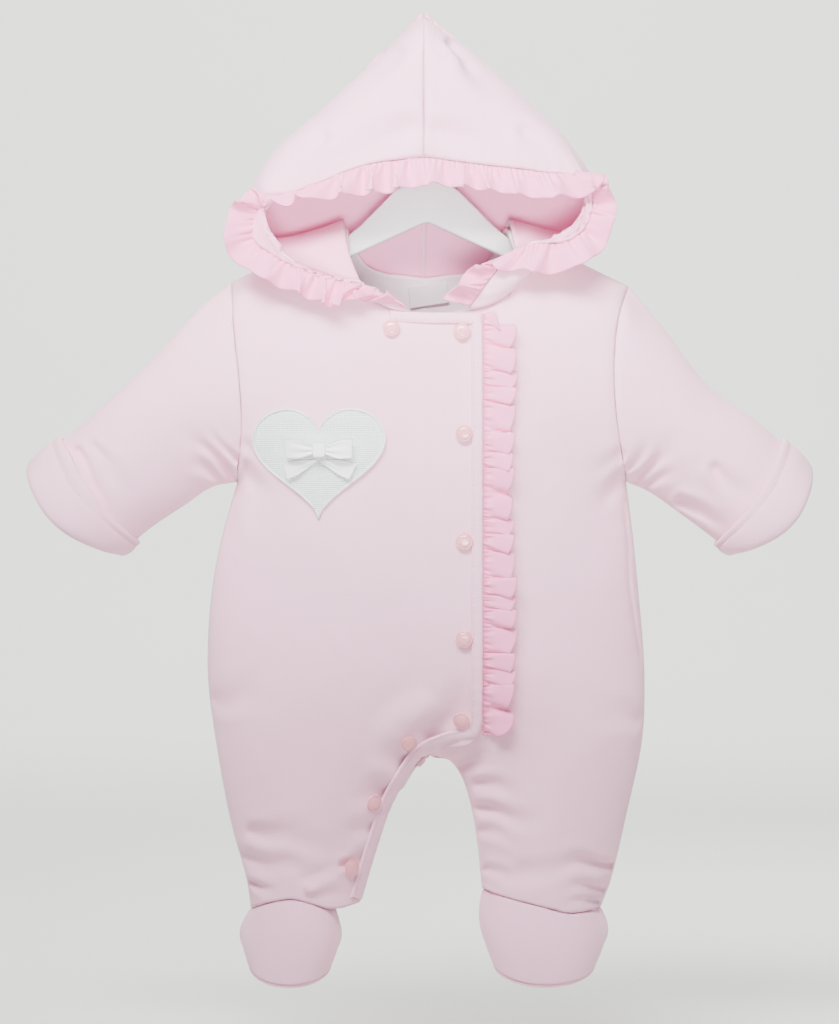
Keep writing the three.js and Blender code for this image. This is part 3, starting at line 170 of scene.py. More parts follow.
# The hood's front edge from the neck round to the top: x, z, y and how far the frill leans, in degrees from +X
HOOD_EDGE = {
    Side.RIGHT: [(-9.4, -187, -38, 150), (-38.5, -171, -45, 205), (-68, -166, -45, 262), (-100, -153, -41, 250),
                 (-121, -136, -32, 205), (-112, -114.5, -33, 165), (-80, -101, -40, 215), (-44, -86.5, -44, 262),
                 (-0.2, -80.6, -46, 270)],
    Side.LEFT: [(32.2, -186.4, -44, 160), (51.5, -161, -45, 175), (70, -143.2, -42, 230), (100, -140, -40, 285),
                (118, -124, -32, 340), (116, -96, -33, 10), (88, -91, -40, 300), (44, -86, -44, 278),
                (0.2, -80.6, -46, 270)],
}
HOOD_TURN = {
    Side.RIGHT: [SHOULDER_NECK[Side.RIGHT], (-82, -135.6), (-108, -138.5), (-130, -128), (-116, -84), (-62, -33),
                 (-0.2, 24)],
    Side.LEFT: [SHOULDER_NECK[Side.LEFT], (84, -132.5), (108, -135), (126, -122), (117, -84), (62, -26),
                (0.2, 24)],
}
HOOD_BACK_NECK_Y = 26.0
HOOD_BACK_TOP_Y = 9.0
PEAK_Z = 24.0


def smooth(t: Array | float) -> Array:
    """Rises softly from 0 to 1 as t does."""
    c = np.clip(t, 0.0, 1.0)
    return c * c * (3 - 2 * c)


def unit(v: Array) -> Array:
    """Vectors of length 1 in the same directions."""
    return v / np.maximum(np.linalg.norm(v, axis=-1, keepdims=True), 1e-12)


def hermite(p1: Array, p2: Array, m1: Array, m2: Array, t: Array) -> Array:
    """Points at t between two points with their slopes."""
    t2, t3 = t * t, t * t * t
    return (2 * t3 - 3 * t2 + 1) * p1 + (t3 - 2 * t2 + t) * m1 + (3 * t2 - 2 * t3) * p2 + (t3 - t2) * m2


class Path:
    """A smooth line through a table's rows, read by its share of length.

    Args:
        rows: the table, (x, z) or (x, z, y), or an array of points.
    """

    per_span = 24

    def __init__(self, rows: Rows | Array) -> None:
        """Lays the line through the rows."""
        if isinstance(rows, np.ndarray):
            knots = rows
        else:
            knots = np.array([(r[0], r[2] if len(r) > 2 else 0.0, r[1]) for r in rows], float)
        ends = np.vstack([2 * knots[0] - knots[1], knots, 2 * knots[-1] - knots[-2]])
        t = (np.arange(self.per_span) / self.per_span)[:, None]
        spans = []
        for p0, p1, p2, p3 in zip(ends, ends[1:], ends[2:], ends[3:]):
            pairs = ((p0, p1), (p1, p2), (p2, p3))
            d0, d1, d2 = (max(float(np.linalg.norm(b - a)), 1e-6) ** 0.5 for a, b in pairs)
            m1 = ((p1 - p0) / d0 - (p2 - p0) / (d0 + d1) + (p2 - p1) / d1) * d1
            m2 = ((p2 - p1) / d1 - (p3 - p1) / (d1 + d2) + (p3 - p2) / d2) * d1
            spans.append(hermite(p1, p2, m1, m2, t))
        self.points = np.vstack([*spans, knots[-1:]])
        steps = np.linalg.norm(np.diff(self.points, axis=0), axis=1)
        self.length = float(steps.sum())
        self.travel = np.concatenate([[0.0], np.cumsum(steps)]) / self.length
        self.knot = np.linspace(0.0, 1.0, len(self.points))

    def at(self, share: Array | float) -> Array:
        """Points at these shares of the length."""
        return np.stack([np.interp(share, self.travel, self.points[:, k]) for k in range(3)], -1)

    def at_knot(self, share: Array | float) -> Array:
        """Points at these shares of the rows' count."""
        return np.stack([np.interp(share, self.knot, self.points[:, k]) for k in range(3)], -1)

    def tangent(self, share: Array | float, step: float = 0.004) -> Array:
        """Directions along the line."""
        return unit(self.at(np.minimum(share + step, 1)) - self.at(np.maximum(np.asarray(share) - step, 0)))

    def even(self, count: int, power: float = 1.0) -> Array:
        """Points along the whole line.

        Args:
            count: how many steps.
            power: above 1 gathers the points at the start.

        Returns:
            count + 1 points.
        """
        return self.at(np.linspace(0, 1, count + 1) ** power)

    def nearest(self, x: Array, z: Array, stride: int = 3) -> tuple[Array, Array]:
        """Distance to the line seen from the front, and where along it in mm.

        Args:
            x: across.
            z: up.
            stride: how many of the line's steps are taken at once.

        Returns:
            Distances and lengths along the line.
        """
        line = self.points[::stride][:, [0, 2]]
        travel = self.travel[::stride] * self.length
        best, where = np.full(x.shape, 1e9), np.zeros(x.shape)
        for a, b, s0, s1 in zip(line, line[1:], travel, travel[1:]):
            d = b - a
            t = np.clip(((x - a[0]) * d[0] + (z - a[1]) * d[1]) / max(d @ d, 1e-9), 0, 1)
            away = np.hypot(x - a[0] - t * d[0], z - a[1] - t * d[1])
            nearer = away < best
            best = np.where(nearer, away, best)
            where = np.where(nearer, s0 + t * (s1 - s0), where)
        return best, where


def straight(a: tuple[float, float], b: tuple[float, float], count: int) -> Array:
    """Points of a straight seam."""
    return Path([a, b]).even(count)


def crease_relief(x: Array, z: Array, creases: Rows) -> Array:
    """How far small creases sink or rise at each point, with soft banks beside each trough."""
    wx = x + 1.6 * np.sin(z / 9.0) + 0.9 * np.sin(z / 4.1 + 1.0)
    wz = z + 1.6 * np.sin(x / 11.0 + 0.7) + 0.8 * np.sin(x / 4.7)
    out = np.zeros(x.shape)
    for x0, z0, x1, z1, wide, deep in creases:
        dx, dz = x1 - x0, z1 - z0
        t = ((wx - x0) * dx + (wz - z0) * dz) / (dx * dx + dz * dz)
        along = np.clip(t, 0, 1)
        away = np.hypot(wx - x0 - along * dx, wz - z0 - along * dz)
        width = wide * (0.75 + 0.5 * along)
        bank = 0.42 * np.exp(-(((away - 1.7 * width) / width) ** 2))
        fade = (1 - 0.75 * along) * smooth((1.25 - t) / 0.6) * smooth((t + 0.3) / 0.3)
        out += CREASE_STRENGTH * deep * fade * (bank - np.exp(-((away / width) ** 2)))
    return out


def wadding(x: Array, z: Array) -> Array:
    """Soft unevenness of the filling."""
    slow = np.sin(x / 23 + 1.3 * np.sin(z / 31)) * np.sin(z / 27 + 1.1 * np.sin(x / 29))
    quick = np.sin(x / 7.1 + 1.7 * np.sin(z / 11.3)) * np.sin(z / 8.3 + 1.5 * np.sin(x / 9.7))
    return 0.8 * slow + 0.16 * quick


@dataclass
class SuitForm:
    """The filled suit: half its depth at any point of its outline."""

    puff: float = 5.6
    flap_lift: float = 4.3
    edge_lift: float = 1.2
    lift_fade: float = 48.0

    def __post_init__(self) -> None:
        """Lays out the outline's stretches and the seams that draw the cloth in."""
        runs = [
            np.array([SHOULDER_NECK[Side.RIGHT], SHOULDER_TIP[Side.RIGHT]], float),
            np.array([SHOULDER_NECK[Side.LEFT], SHOULDER_TIP[Side.LEFT]], float),
            np.array([SHOULDER_NECK[Side.LEFT], SHOULDER_NECK[Side.RIGHT]], float),
        ]
        for table in (SLEEVE_TOP, SLEEVE_UNDER, SIDE, INNER_LEG):
            for rows in table.values():
                runs.append(Path(rows).even((len(rows) - 1) * 4)[:, [0, 2]])
        self.starts = np.vstack([r[:-1] for r in runs])
        self.ends = np.vstack([r[1:] for r in runs])
        self.flap_line = Path(FLAP_EDGE)
        self.loop = [SHOULDER_NECK[Side.RIGHT], *SLEEVE_TOP[Side.RIGHT], *reversed(SLEEVE_UNDER[Side.RIGHT]),
                     *SIDE[Side.RIGHT], *reversed(INNER_LEG[Side.RIGHT]), *INNER_LEG[Side.LEFT],
                     *reversed(SIDE[Side.LEFT]), *SLEEVE_UNDER[Side.LEFT], *reversed(SLEEVE_TOP[Side.LEFT]),
                     SHOULDER_NECK[Side.LEFT]]
        # line, how deep it draws in, how far, height of its puckers
        self.seams = [
            (Path(ARMHOLE[Side.RIGHT]), 1.5, 3.4, 0.42), (Path(ARMHOLE[Side.LEFT]), 1.5, 3.4, 0.42),
            (Path(ANKLE[Side.RIGHT]), 1.2, 3.0, 0.5), (Path(ANKLE[Side.LEFT]), 1.2, 3.0, 0.5),
            (Path(SIDE[Side.RIGHT]), 0.0, 3.0, 0.4), (Path(SIDE[Side.LEFT]), 0.0, 3.0, 0.4),
            (Path(INNER_LEG[Side.LEFT]), 0.0, 3.0, 0.35), (Path(NECK_FRONT[Side.LEFT]), 0.9, 2.4, 0.3),
        ]
        self.front_seams = [(Path(SIDE_SEAM_LEFT), 1.7, 1.5, 0.5)]
        self.back_seams = [(Path(NECK_BACK), 1.0, 2.6, 0.4), (Path([NECK_BACK[2], CROTCH]), 1.1, 1.8, 0.25)]
        self.flap_seams = [(Path(NECK_FRONT[Side.RIGHT]), 0.9, 2.4, 0.3)]

    def room(self, x: Array, z: Array) -> Array:
        """Room round each point: less where the outline is near on several sides."""
        total = np.zeros(x.shape)
        for a, b in zip(self.starts, self.ends):
            ax, az, bx, bz = a[0] - x, a[1] - z, b[0] - x, b[1] - z
            cross = np.abs(ax * bz - az * bx)
            dot = ax * bx + az * bz
            away = np.maximum(cross / math.hypot(b[0] - a[0], b[1] - a[1]), 1e-6)
            total += np.arctan2(cross, dot) / away
        return np.pi / np.maximum(total, 1e-9)

    def depth(self, x: Array, z: Array) -> Array:
        """Half depth with the largest folds."""
        half = self.puff * np.sqrt(self.room(x, z))
        deep = np.zeros(x.shape)
        for x0, z0, x1, z1, wide, fold in FOLDS:
            dx, dz = x1 - x0, z1 - z0
            t = np.clip(((x - x0) * dx + (z - z0) * dz) / (dx * dx + dz * dz), 0, 1)
            away = np.hypot(x - x0 - t * dx, z - z0 - t * dz)
            deep = np.maximum(deep, fold * (1 - 0.6 * t) * smooth(1 - away / wide))
        return half - deep * smooth(half / 24)

    def flap(self, x: Array, z: Array) -> Array:
        """Half depth of the front that lies over the other."""
        half = self.depth(x, z)
        away = self.flap_line.nearest(x, z, 6)[0]
        lift = self.flap_lift * smooth((self.lift_fade - away) / 20)
        lift = lift + self.edge_lift * smooth((16 - away) / 12)
        return half + lift * smooth(half / 12)

    def relief(self, x: Array, z: Array, half: Array, creases: Rows, seams: Sequence[tuple] = ()) -> Array:
        """Creases, filling and puckers at seams, as an outward offset.

        Args:
            x: across.
            z: up.
            half: the half depth there, by which the relief fades at the outline.
            creases: table of small creases.
            seams: more seams than those that both layers have.

        Returns:
            The offset in mm.
        """
        out = crease_relief(x, z, creases) + wadding(x, z)
        for line, pinch, reach, pucker in [*self.seams, *seams]:
            away, where = line.nearest(x, z, 6)
            wave = np.sin(where / 2.3 + 1.4 * np.sin(where / 13.0)) * (0.6 + 0.4 * np.sin(where / 19.0))
            out -= pinch * np.exp(-((away / reach) ** 2))
            out += pucker * wave * np.exp(-away / 6.0) * smooth(away / 1.5)
        return out * smooth(half / 11)

    def inside(self, x: float, z: float) -> bool:
        """Whether a point lies within the outline."""
        odd = False
        for a, b in zip(self.loop, [*self.loop[1:], self.loop[0]]):
            if (a[1] > z) != (b[1] > z) and x < a[0] + (z - a[1]) / (b[1] - a[1]) * (b[0] - a[0]):
                odd = not odd
        return odd

    def near_depth(self, x: float, z: float) -> float:
        """Greatest half depth close to a point."""
        reach = 4.0
        spots = [(0, 0), (reach, 0), (-reach, 0), (0, reach), (0, -reach)]
        found = [(x + a, z + b) for a, b in spots if self.inside(x + a, z + b)]
        if not found:
            return 0.0
        grid = np.array(found)
        return float(self.depth(grid[:, 0], grid[:, 1]).max())

    def clearance(self, x: float, z: float) -> float:
        """Half depth that clears the suit at a point, or 0 beside it."""
        return self.near_depth(x, z) + HALF_SEAM + HOOD_REST if self.inside(x, z) else 0.0

    def on_flap(self, x: Array, z: Array, out: Array | float) -> Array:
        """Points that stand out from the flap's surface."""
        e = 0.8
        dx = (self.flap(x + e, z) - self.flap(x - e, z)) / (2 * e)
        dz = (self.flap(x, z + e) - self.flap(x, z - e)) / (2 * e)
        normal = unit(np.stack([-dx, -np.ones_like(dx), -dz], -1))
        base = np.stack([x, -(HALF_SEAM + self.flap(x, z)), z], -1)
        return base + normal * np.asarray(out)[..., None]


FORM = SuitForm()


def more_points(grid: Array, k: int, ring: bool) -> Array:
    """Adds points between the rows of a grid, on smooth lines through them.

    Args:
        grid: rows of points.
        k: how many steps each step becomes.
        ring: whether the last row joins the first.

    Returns:
        The finer grid.
    """
    if ring:
        ends = np.concatenate([grid[-1:], grid, grid[:2]])
    else:
        ends = np.concatenate([2 * grid[:1] - grid[1:2], grid, 2 * grid[-1:] - grid[-2:-1]])
    p0, p1, p2, p3 = ends[:-3], ends[1:-2], ends[2:-1], ends[3:]
    steps = [hermite(p1, p2, (p2 - p0) / 2, (p3 - p1) / 2, np.float64(i / k)) for i in range(k)]
    fine = np.stack(steps, 1).reshape(-1, *grid.shape[1:])
    return fine if ring else np.concatenate([fine, grid[-1:]])


def refine(grid: Array, rows: int, columns: int, ring: bool = False) -> Array:
    """A finer grid both ways; ring joins each row's end to its start."""
    down = more_points(grid, rows, False)
    return more_points(down.swapaxes(0, 1), columns, ring).swapaxes(0, 1)


def grid_normals(points: Array, faces: Array) -> Array:
    """Normals at points, from faces of four corners."""
    a, b, c, d = (points[faces[:, k]] for k in range(4))
    n = np.cross(c - a, d - b)
    out = np.zeros_like(points)
    for k in range(4):
        np.add.at(out, faces[:, k], n)
    return unit(out)


def grid_faces(rows: int, columns: int, ring: bool, flip: bool, start: int = 0) -> Array:
    """Faces of a grid of points, four corners each."""
    j, i = np.meshgrid(np.arange(rows - 1), np.arange(columns if ring else columns - 1), indexing="ij")
    n = (i + 1) % columns
    corners = [j * columns + i, j * columns + n, (j + 1) * columns + n, (j + 1) * columns + i]
    faces = np.stack([c.ravel() for c in corners], 1) + start
    return faces[:, ::-1] if flip else faces


def make_mesh(name: str, points: Array, faces: Sequence[Sequence[int]]) -> bpy.types.Object:
    """A smooth mesh object from points in mm.

    Args:
        name: the piece's name.
        points: corners in mm.
        faces: corner numbers, facing outwards.

    Returns:
        The object, linked to the scene.
    """
    mesh = bpy.data.meshes.new(name)
    mesh.from_pydata((np.asarray(points) * MM).tolist(), [], [list(map(int, f)) for f in faces])
    mesh.validate()
    mesh.shade_smooth()
    piece = bpy.data.objects.new(name, mesh)
    bpy.context.scene.collection.objects.link(piece)
    return piece


@dataclass
class ClothGrid:
    """A grid of outer points of a cloth piece."""

    points: Array
    ring: bool = False
    flip: bool = False


def cloth_shell(
    name: str, grids: Sequence[ClothGrid], thick: float, keep: Callable[[Array], Array] | None = None,
) -> bpy.types.Object:
    """A closed cloth wall: the outer grids, an inner layer and the edge between them.

    Args:
        name: the piece's name.
        grids: outer surfaces, joined where their points meet.
        thick: the wall in mm.
        keep: moves inner points back to their own side of a seam.

    Returns:
        The object; the faces of its inner layer take its second material, if it has one.
    """
    stacks, face_sets, start = [], [], 0
    for g in grids:
        rows, columns = g.points.shape[:2]
        stacks.append(g.points.reshape(-1, 3))
        face_sets.append(grid_faces(rows, columns, g.ring, g.flip, start))
        start += rows * columns
    points, faces = np.vstack(stacks), np.vstack(face_sets)
    near = np.round(points * 200).astype(np.int64)
    _, first, turn = np.unique(near, axis=0, return_index=True, return_inverse=True)
    points, faces = points[first], turn.ravel()[faces]
    inner = points - grid_normals(points, faces) * thick
    if keep is not None:
        inner = keep(inner)
    count = len(points)
    outer_faces = [list(dict.fromkeys(f)) for f in faces.tolist()]
    outer_faces = [f for f in outer_faces if len(f) > 2]
    edges = {(a, b) for f in outer_faces for a, b in zip(f, f[1:] + f[:1])}
    inner_faces = [[v + count for v in reversed(f)] for f in outer_faces]
    rim = [[b, a, a + count, b + count] for a, b in edges if (b, a) not in edges]
    piece = make_mesh(name, np.vstack([points, inner]), outer_faces + inner_faces + rim)
    inside = np.zeros(len(piece.data.polygons), np.int32)
    inside[len(outer_faces):len(outer_faces) + len(inner_faces)] = 1
    piece.data.attributes.new("inner_layer", "INT", "FACE").data.foreach_set("value", inside)
    return piece


def tube(name: str, line: Array, radius: float, sides: int = 8, closed: bool = False) -> bpy.types.Object:
    """A round thread along a line of points in mm."""
    ahead = np.roll(line, -1, 0) - np.roll(line, 1, 0)
    if not closed:
        ahead[0], ahead[-1] = line[1] - line[0], line[-1] - line[-2]
    ahead = unit(ahead)
    side = unit(np.cross(ahead, np.array([0.0, -1.0, 0.0])))
    lift = np.cross(side, ahead)
    angle = np.arange(sides) * 2 * np.pi / sides
    rings = line[:, None] + radius * (
        side[:, None] * np.cos(angle)[None, :, None] + lift[:, None] * np.sin(angle)[None, :, None])
    rows = len(line)
    if closed:
        rings = np.concatenate([rings, rings[:1]])
        rows += 1
    faces = grid_faces(rows, sides, True, False)
    if closed:
        faces = faces % (len(line) * sides)
        return make_mesh(name, rings[:-1].reshape(-1, 3), faces.tolist())
    caps = [list(range(sides))[::-1], [(rows - 1) * sides + i for i in range(sides)]]
    return make_mesh(name, rings.reshape(-1, 3), faces.tolist() + caps)


def stitch_row(
    name: str, line: Array, normals: Array, length: float = 2.2, gap: float = 1.0
) -> bpy.types.Object:
    """A row of separate sewn stitches.

    Args:
        name: the piece's name.
        line: points along the seam in mm, on the cloth.
        normals: directions out of the cloth there.
        length: one stitch in mm.
        gap: space to the next.

    Returns:
        One object that holds the row.
    """
    steps = np.linalg.norm(np.diff(line, axis=0), axis=1)
    travel = np.concatenate([[0.0], np.cumsum(steps)])
    radius, sides = 0.27, 6
    profile = [(0.0, 0.25), (0.16, 0.8), (0.5, 1.0), (0.84, 0.8), (1.0, 0.25)]
    points, faces = [], []
    for start in np.arange(0.4, travel[-1] - length, length + gap):
        base = len(points)
        for share, size in profile:
            at = start + share * length
            p = np.array([np.interp(at, travel, line[:, k]) for k in range(3)])
            q = np.array([np.interp(at + 0.2, travel, line[:, k]) for k in range(3)])
            n = unit(np.array([np.interp(at, travel, normals[:, k]) for k in range(3)]))
            ahead = unit(q - p) if np.linalg.norm(q - p) > 1e-6 else unit(line[-1] - line[-2])
            side = unit(np.cross(ahead, n))
            lift = 0.22 * math.sin(math.pi * share) - 0.06
            for i in range(sides):
                a = 2 * math.pi * i / sides
                points.append(p + n * lift + radius * size * (side * math.cos(a) + n * math.sin(a)))
        rows = len(profile)
        faces += (grid_faces(rows, sides, True, True) + base).tolist()
        end = base + (rows - 1) * sides
        faces += [[base + i for i in range(sides)], [end + i for i in reversed(range(sides))]]
    return make_mesh(name, np.array(points), faces)


class Shader:
    """Short ways to add nodes to a material or group."""

    def __init__(self, tree: bpy.types.NodeTree) -> None:
        """Works on this node tree."""
        self.tree = tree

    def add(self, kind: str, values: dict[str, object] | None = None, **settings: object) -> bpy.types.Node:
        """A node with its settings and its sockets' values."""
        node = self.tree.nodes.new(kind)
        for key, value in settings.items():
            setattr(node, key, value)
        for key, value in (values or {}).items():
            node.inputs[key].default_value = value
        return node

    def link(self, out: bpy.types.NodeSocket, into: bpy.types.NodeSocket) -> None:
        """Joins two sockets."""
        self.tree.links.new(out, into)


def linear(rgb: tuple[float, float, float]) -> tuple[float, float, float, float]:
    """A colour given from 0 to 255 as a shader takes it."""
    parts = [c / 255 for c in rgb]
    return (*[c / 12.92 if c <= 0.04045 else ((c + 0.055) / 1.055) ** 2.4 for c in parts], 1.0)


class Weave:
    """The node group for woven or knitted cloth: a height from its threads, and a mask of soft blotches."""

    def __init__(self) -> None:
        """Builds the group once."""
        group = bpy.data.node_groups.new("cloth_weave", "ShaderNodeTree")
        for label in ("Threads", "Fuzz", "Blotch"):
            group.interface.new_socket(label, in_out="INPUT", socket_type="NodeSocketFloat")
        group.interface.new_socket("Height", in_out="OUTPUT", socket_type="NodeSocketFloat")
        group.interface.new_socket("Tone", in_out="OUTPUT", socket_type="NodeSocketFloat")
        s = Shader(group)
        entry, leave = s.add("NodeGroupInput"), s.add("NodeGroupOutput")
        coordinates = s.add("ShaderNodeTexCoord")
        waves = []
        for direction in ("X", "Z"):
            wave = s.add("ShaderNodeTexWave", {"Distortion": 1.2, "Detail": 1.0, "Detail Scale": 2.0},
                         wave_type="BANDS", bands_direction=direction)
            s.link(coordinates.outputs["Object"], wave.inputs["Vector"])
            s.link(entry.outputs["Threads"], wave.inputs["Scale"])
            waves.append(wave)
        fuzz = s.add("ShaderNodeTexNoise", {"Detail": 3.0, "Roughness": 0.6})
        blotch = s.add("ShaderNodeTexNoise", {"Detail": 4.0, "Roughness": 0.55})
        for node, label in ((fuzz, "Fuzz"), (blotch, "Blotch")):
            s.link(coordinates.outputs["Object"], node.inputs["Vector"])
            s.link(entry.outputs[label], node.inputs["Scale"])
        cross = s.add("ShaderNodeMath", operation="MULTIPLY")
        s.link(waves[0].outputs["Fac"], cross.inputs[0])
        s.link(waves[1].outputs["Fac"], cross.inputs[1])
        height = s.add("ShaderNodeMath", {1: 0.6}, operation="MULTIPLY_ADD")
        s.link(fuzz.outputs["Fac"], height.inputs[0])
        s.link(cross.outputs[0], height.inputs[2])
        tone = s.add("ShaderNodeMath", {1: 0.7}, operation="MULTIPLY_ADD")
        fine = s.add("ShaderNodeMath", {1: 0.3}, operation="MULTIPLY")
        s.link(height.outputs[0], fine.inputs[0])
        s.link(blotch.outputs["Fac"], tone.inputs[0])
        s.link(fine.outputs[0], tone.inputs[2])
        s.link(height.outputs[0], leave.inputs["Height"])
        s.link(tone.outputs[0], leave.inputs["Tone"])
        self.group = group


@dataclass(frozen=True)
class ClothFinish:
    """A cloth: two close colours, its thread and fuzz scales, how rough and how soft its sheen is."""

    name: str
    colour: tuple[float, float, float]
    shade: tuple[float, float, float]
    roughness: float = 0.88
    sheen: float = 0.25
    threads: float = 330.0
    fuzz: float = 900.0
    blotch: float = 16.0
    bump: float = 0.35
    height: float = 0.00025

    def material(self, weave: Weave) -> bpy.types.Material:
        """The material, with the weave group in it."""
        made = bpy.data.materials.new(self.name)
        made.use_nodes = True
        s = Shader(made.node_tree)
        shader = made.node_tree.nodes["Principled BSDF"]
        group = s.add("ShaderNodeGroup", node_tree=weave.group)
        for label, value in (("Threads", self.threads), ("Fuzz", self.fuzz), ("Blotch", self.blotch)):
            group.inputs[label].default_value = value
        ramp = s.add("ShaderNodeValToRGB")
        ramp.color_ramp.elements[0].position = 0.25
        ramp.color_ramp.elements[0].color = linear(self.shade)
        ramp.color_ramp.elements[1].position = 0.75
        ramp.color_ramp.elements[1].color = linear(self.colour)
        bump = s.add("ShaderNodeBump", {"Strength": self.bump, "Distance": self.height})
        s.link(group.outputs["Tone"], ramp.inputs["Fac"])
        s.link(ramp.outputs["Color"], shader.inputs["Base Color"])
        s.link(group.outputs["Height"], bump.inputs["Height"])
        s.link(bump.outputs["Normal"], shader.inputs["Normal"])
        shader.inputs["Roughness"].default_value = self.roughness
        shader.inputs["Sheen Weight"].default_value = self.sheen
        shader.inputs["Sheen Roughness"].default_value = 0.5
        shader.inputs["Specular IOR Level"].default_value = 0.25
        return made


@dataclass(frozen=True)
class HardFinish:
    """Paint, pearl plastic or metal: a colour with faint clouding and a fine surface."""

    name: str
    colour: tuple[float, float, float]
    shade: tuple[float, float, float]
    roughness: float = 0.35
    metallic: float = 0.0
    coat: float = 0.0
    cloud: float = 60.0
    bump: float = 0.05

    def material(self) -> bpy.types.Material:
        """The material with its noise for colour, roughness and surface."""
        made = bpy.data.materials.new(self.name)
        made.use_nodes = True
        s = Shader(made.node_tree)
        shader = made.node_tree.nodes["Principled BSDF"]
        coordinates = s.add("ShaderNodeTexCoord")
        cloud = s.add("ShaderNodeTexNoise", {"Scale": self.cloud, "Detail": 4.0})
        ramp = s.add("ShaderNodeValToRGB")
        ramp.color_ramp.elements[0].position = 0.3
        ramp.color_ramp.elements[0].color = linear(self.shade)
        ramp.color_ramp.elements[1].position = 0.7
        ramp.color_ramp.elements[1].color = linear(self.colour)
        rough = s.add("ShaderNodeMapRange", {"To Min": self.roughness * 0.85, "To Max": self.roughness * 1.15})
        bump = s.add("ShaderNodeBump", {"Strength": self.bump, "Distance": 0.0002})
        s.link(coordinates.outputs["Object"], cloud.inputs["Vector"])
        s.link(cloud.outputs["Fac"], ramp.inputs["Fac"])
        s.link(ramp.outputs["Color"], shader.inputs["Base Color"])
        s.link(cloud.outputs["Fac"], rough.inputs["Value"])
        s.link(rough.outputs["Result"], shader.inputs["Roughness"])
        s.link(cloud.outputs["Fac"], bump.inputs["Height"])
        s.link(bump.outputs["Normal"], shader.inputs["Normal"])
        shader.inputs["Metallic"].default_value = self.metallic
        shader.inputs["Coat Weight"].default_value = self.coat
        return made


class Wardrobe:
    """All finishes of the suit, each made once."""

    def __init__(self) -> None:
        """Makes the materials."""
        weave = Weave()
        pink, pink_shade = (255, 201, 224), (251, 191, 215)
        self.padded = ClothFinish("padded_cotton", pink, pink_shade).material(weave)
        self.lining = ClothFinish("lining_cotton", (252, 230, 238), (248, 222, 232)).material(weave)
        self.hood = ClothFinish("hood_cotton", (255, 200, 225), (251, 190, 216)).material(weave)
        # The hood's inner layer is the same cotton as its outside. Its deeper pink is painted shade of the
        # hollow inside the hood.
        self.hood_lining_painted_shade = ClothFinish("hood_lining_painted_shade", (255, 176, 213), (253, 166, 204)).material(weave)
        self.frill = ClothFinish("frill_cotton", (255, 158, 203), (252, 148, 194), sheen=0.35).material(weave)
        self.binding = ClothFinish("binding_cotton", (253, 200, 224), (250, 191, 216)).material(weave)
        self.thread = ClothFinish(
            "sewing_thread", (250, 170, 200), (242, 156, 190), threads=1200.0,
        ).material(weave)
        self.velour = ClothFinish(
            "velour", (250, 255, 255), (243, 250, 250), 0.95, 0.8, 210.0, 520.0, 60.0, 0.9, 0.0009,
        ).material(weave)
        self.satin_edge = ClothFinish(
            "satin_edge", (252, 250, 250), (238, 232, 235), 0.45, 0.2, 700.0, 1400.0, 90.0, 0.6, 0.0003,
        ).material(weave)
        self.ribbon = ClothFinish(
            "satin_ribbon", (255, 253, 254), (247, 243, 246), 0.36, 0.15, 900.0, 2000.0, 30.0, 0.2, 0.0001,
        ).material(weave)
        self.label = ClothFinish(
            "label_cloth", (238, 224, 228), (228, 212, 218), 0.6, 0.1, 800.0, 1500.0, 40.0, 0.3, 0.0001,
        ).material(weave)
        self.snap = HardFinish("snap_cap", (250, 168, 182), (245, 158, 172), 0.22, 0.0, 0.6).material()
        self.paint = HardFinish(
            "hanger_paint", (246, 245, 246), (238, 236, 239), 0.4, 0.0, 0.1, 25.0,
        ).material()
        self.wire = HardFinish("hook_wire", (205, 205, 208), (180, 180, 184), 0.28, 1.0, 0.0, 200.0).material()


def dress(piece: bpy.types.Object, material: bpy.types.Material, nodes: Sequence[str] = ()) -> None:
    """Gives a piece its finish and its place on the body.

    Args:
        piece: the object.
        material: its finish.
        nodes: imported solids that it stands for.
    """
    piece.data.materials.append(material)
    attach(piece, "root")
    if nodes:
        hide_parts(*nodes)
    corners = np.array([tuple(v.co) for v in piece.data.vertices]) / MM
    low, high = corners.min(0).round(1), corners.max(0).round(1)
    log.info("%s: %d faces, from %s to %s mm", piece.name, len(piece.data.polygons), low, high)


def line_inside(piece: bpy.types.Object, lining: bpy.types.Material) -> None:
    """Gives the inner layer of a cloth piece its lining."""
    piece.data.materials.append(lining)
    inside = np.zeros(len(piece.data.polygons), np.int32)
    piece.data.attributes["inner_layer"].data.foreach_get("value", inside)
    piece.data.polygons.foreach_set("material_index", inside)


TOP_FADE, BOTTOM_FADE = 1.6, 3
EVEN_ROUNDS, EVEN_ROWS, EVEN_FROM, EVEN_FADE = 40, 10, 0.9, 0.3


def patch(left: Array, right: Array, top: Array, bottom: Array, fractions: Array) -> Array:
    """Rows between a left and a right edge, shaped by the top and bottom edges."""
    last = len(left) - 1
    v = (np.arange(last + 1) / last)[:, None, None]
    u = np.asarray(fractions)[None, :, None]
    right = right[:last + 1]
    rows = left[:, None] * (1 - u) + right[:, None] * u
    rows = rows + (top[None] - (left[0] * (1 - u) + right[0] * u)) * (1 - v) ** TOP_FADE
    return rows + (bottom[None] - (left[last] * (1 - u) + right[last] * u)) * v**BOTTOM_FADE


def evened(grid: Array, fractions: Array) -> Array:
    """Draws each inner point of the upper rows towards the middle of its neighbours.

    Args:
        grid: a flat grid whose cells crowd under a steep neckline.
        fractions: where its columns lie; the outer ones stay.

    Returns:
        The same outline with evener cells.
    """
    down = np.clip(1 - np.arange(len(grid)) / EVEN_ROWS, 0, 1)[:, None]
    share = down * np.clip((EVEN_FROM - fractions) / EVEN_FADE, 0, 1)[None]
    grid = grid.copy()
    for _ in range(EVEN_ROUNDS):
        middle = (grid[:-2, 1:-1] + grid[2:, 1:-1] + grid[1:-1, :-2] + grid[1:-1, 2:]) / 4
        grid[1:-1, 1:-1] += (middle - grid[1:-1, 1:-1]) * share[1:-1, 1:-1, None]
    return grid


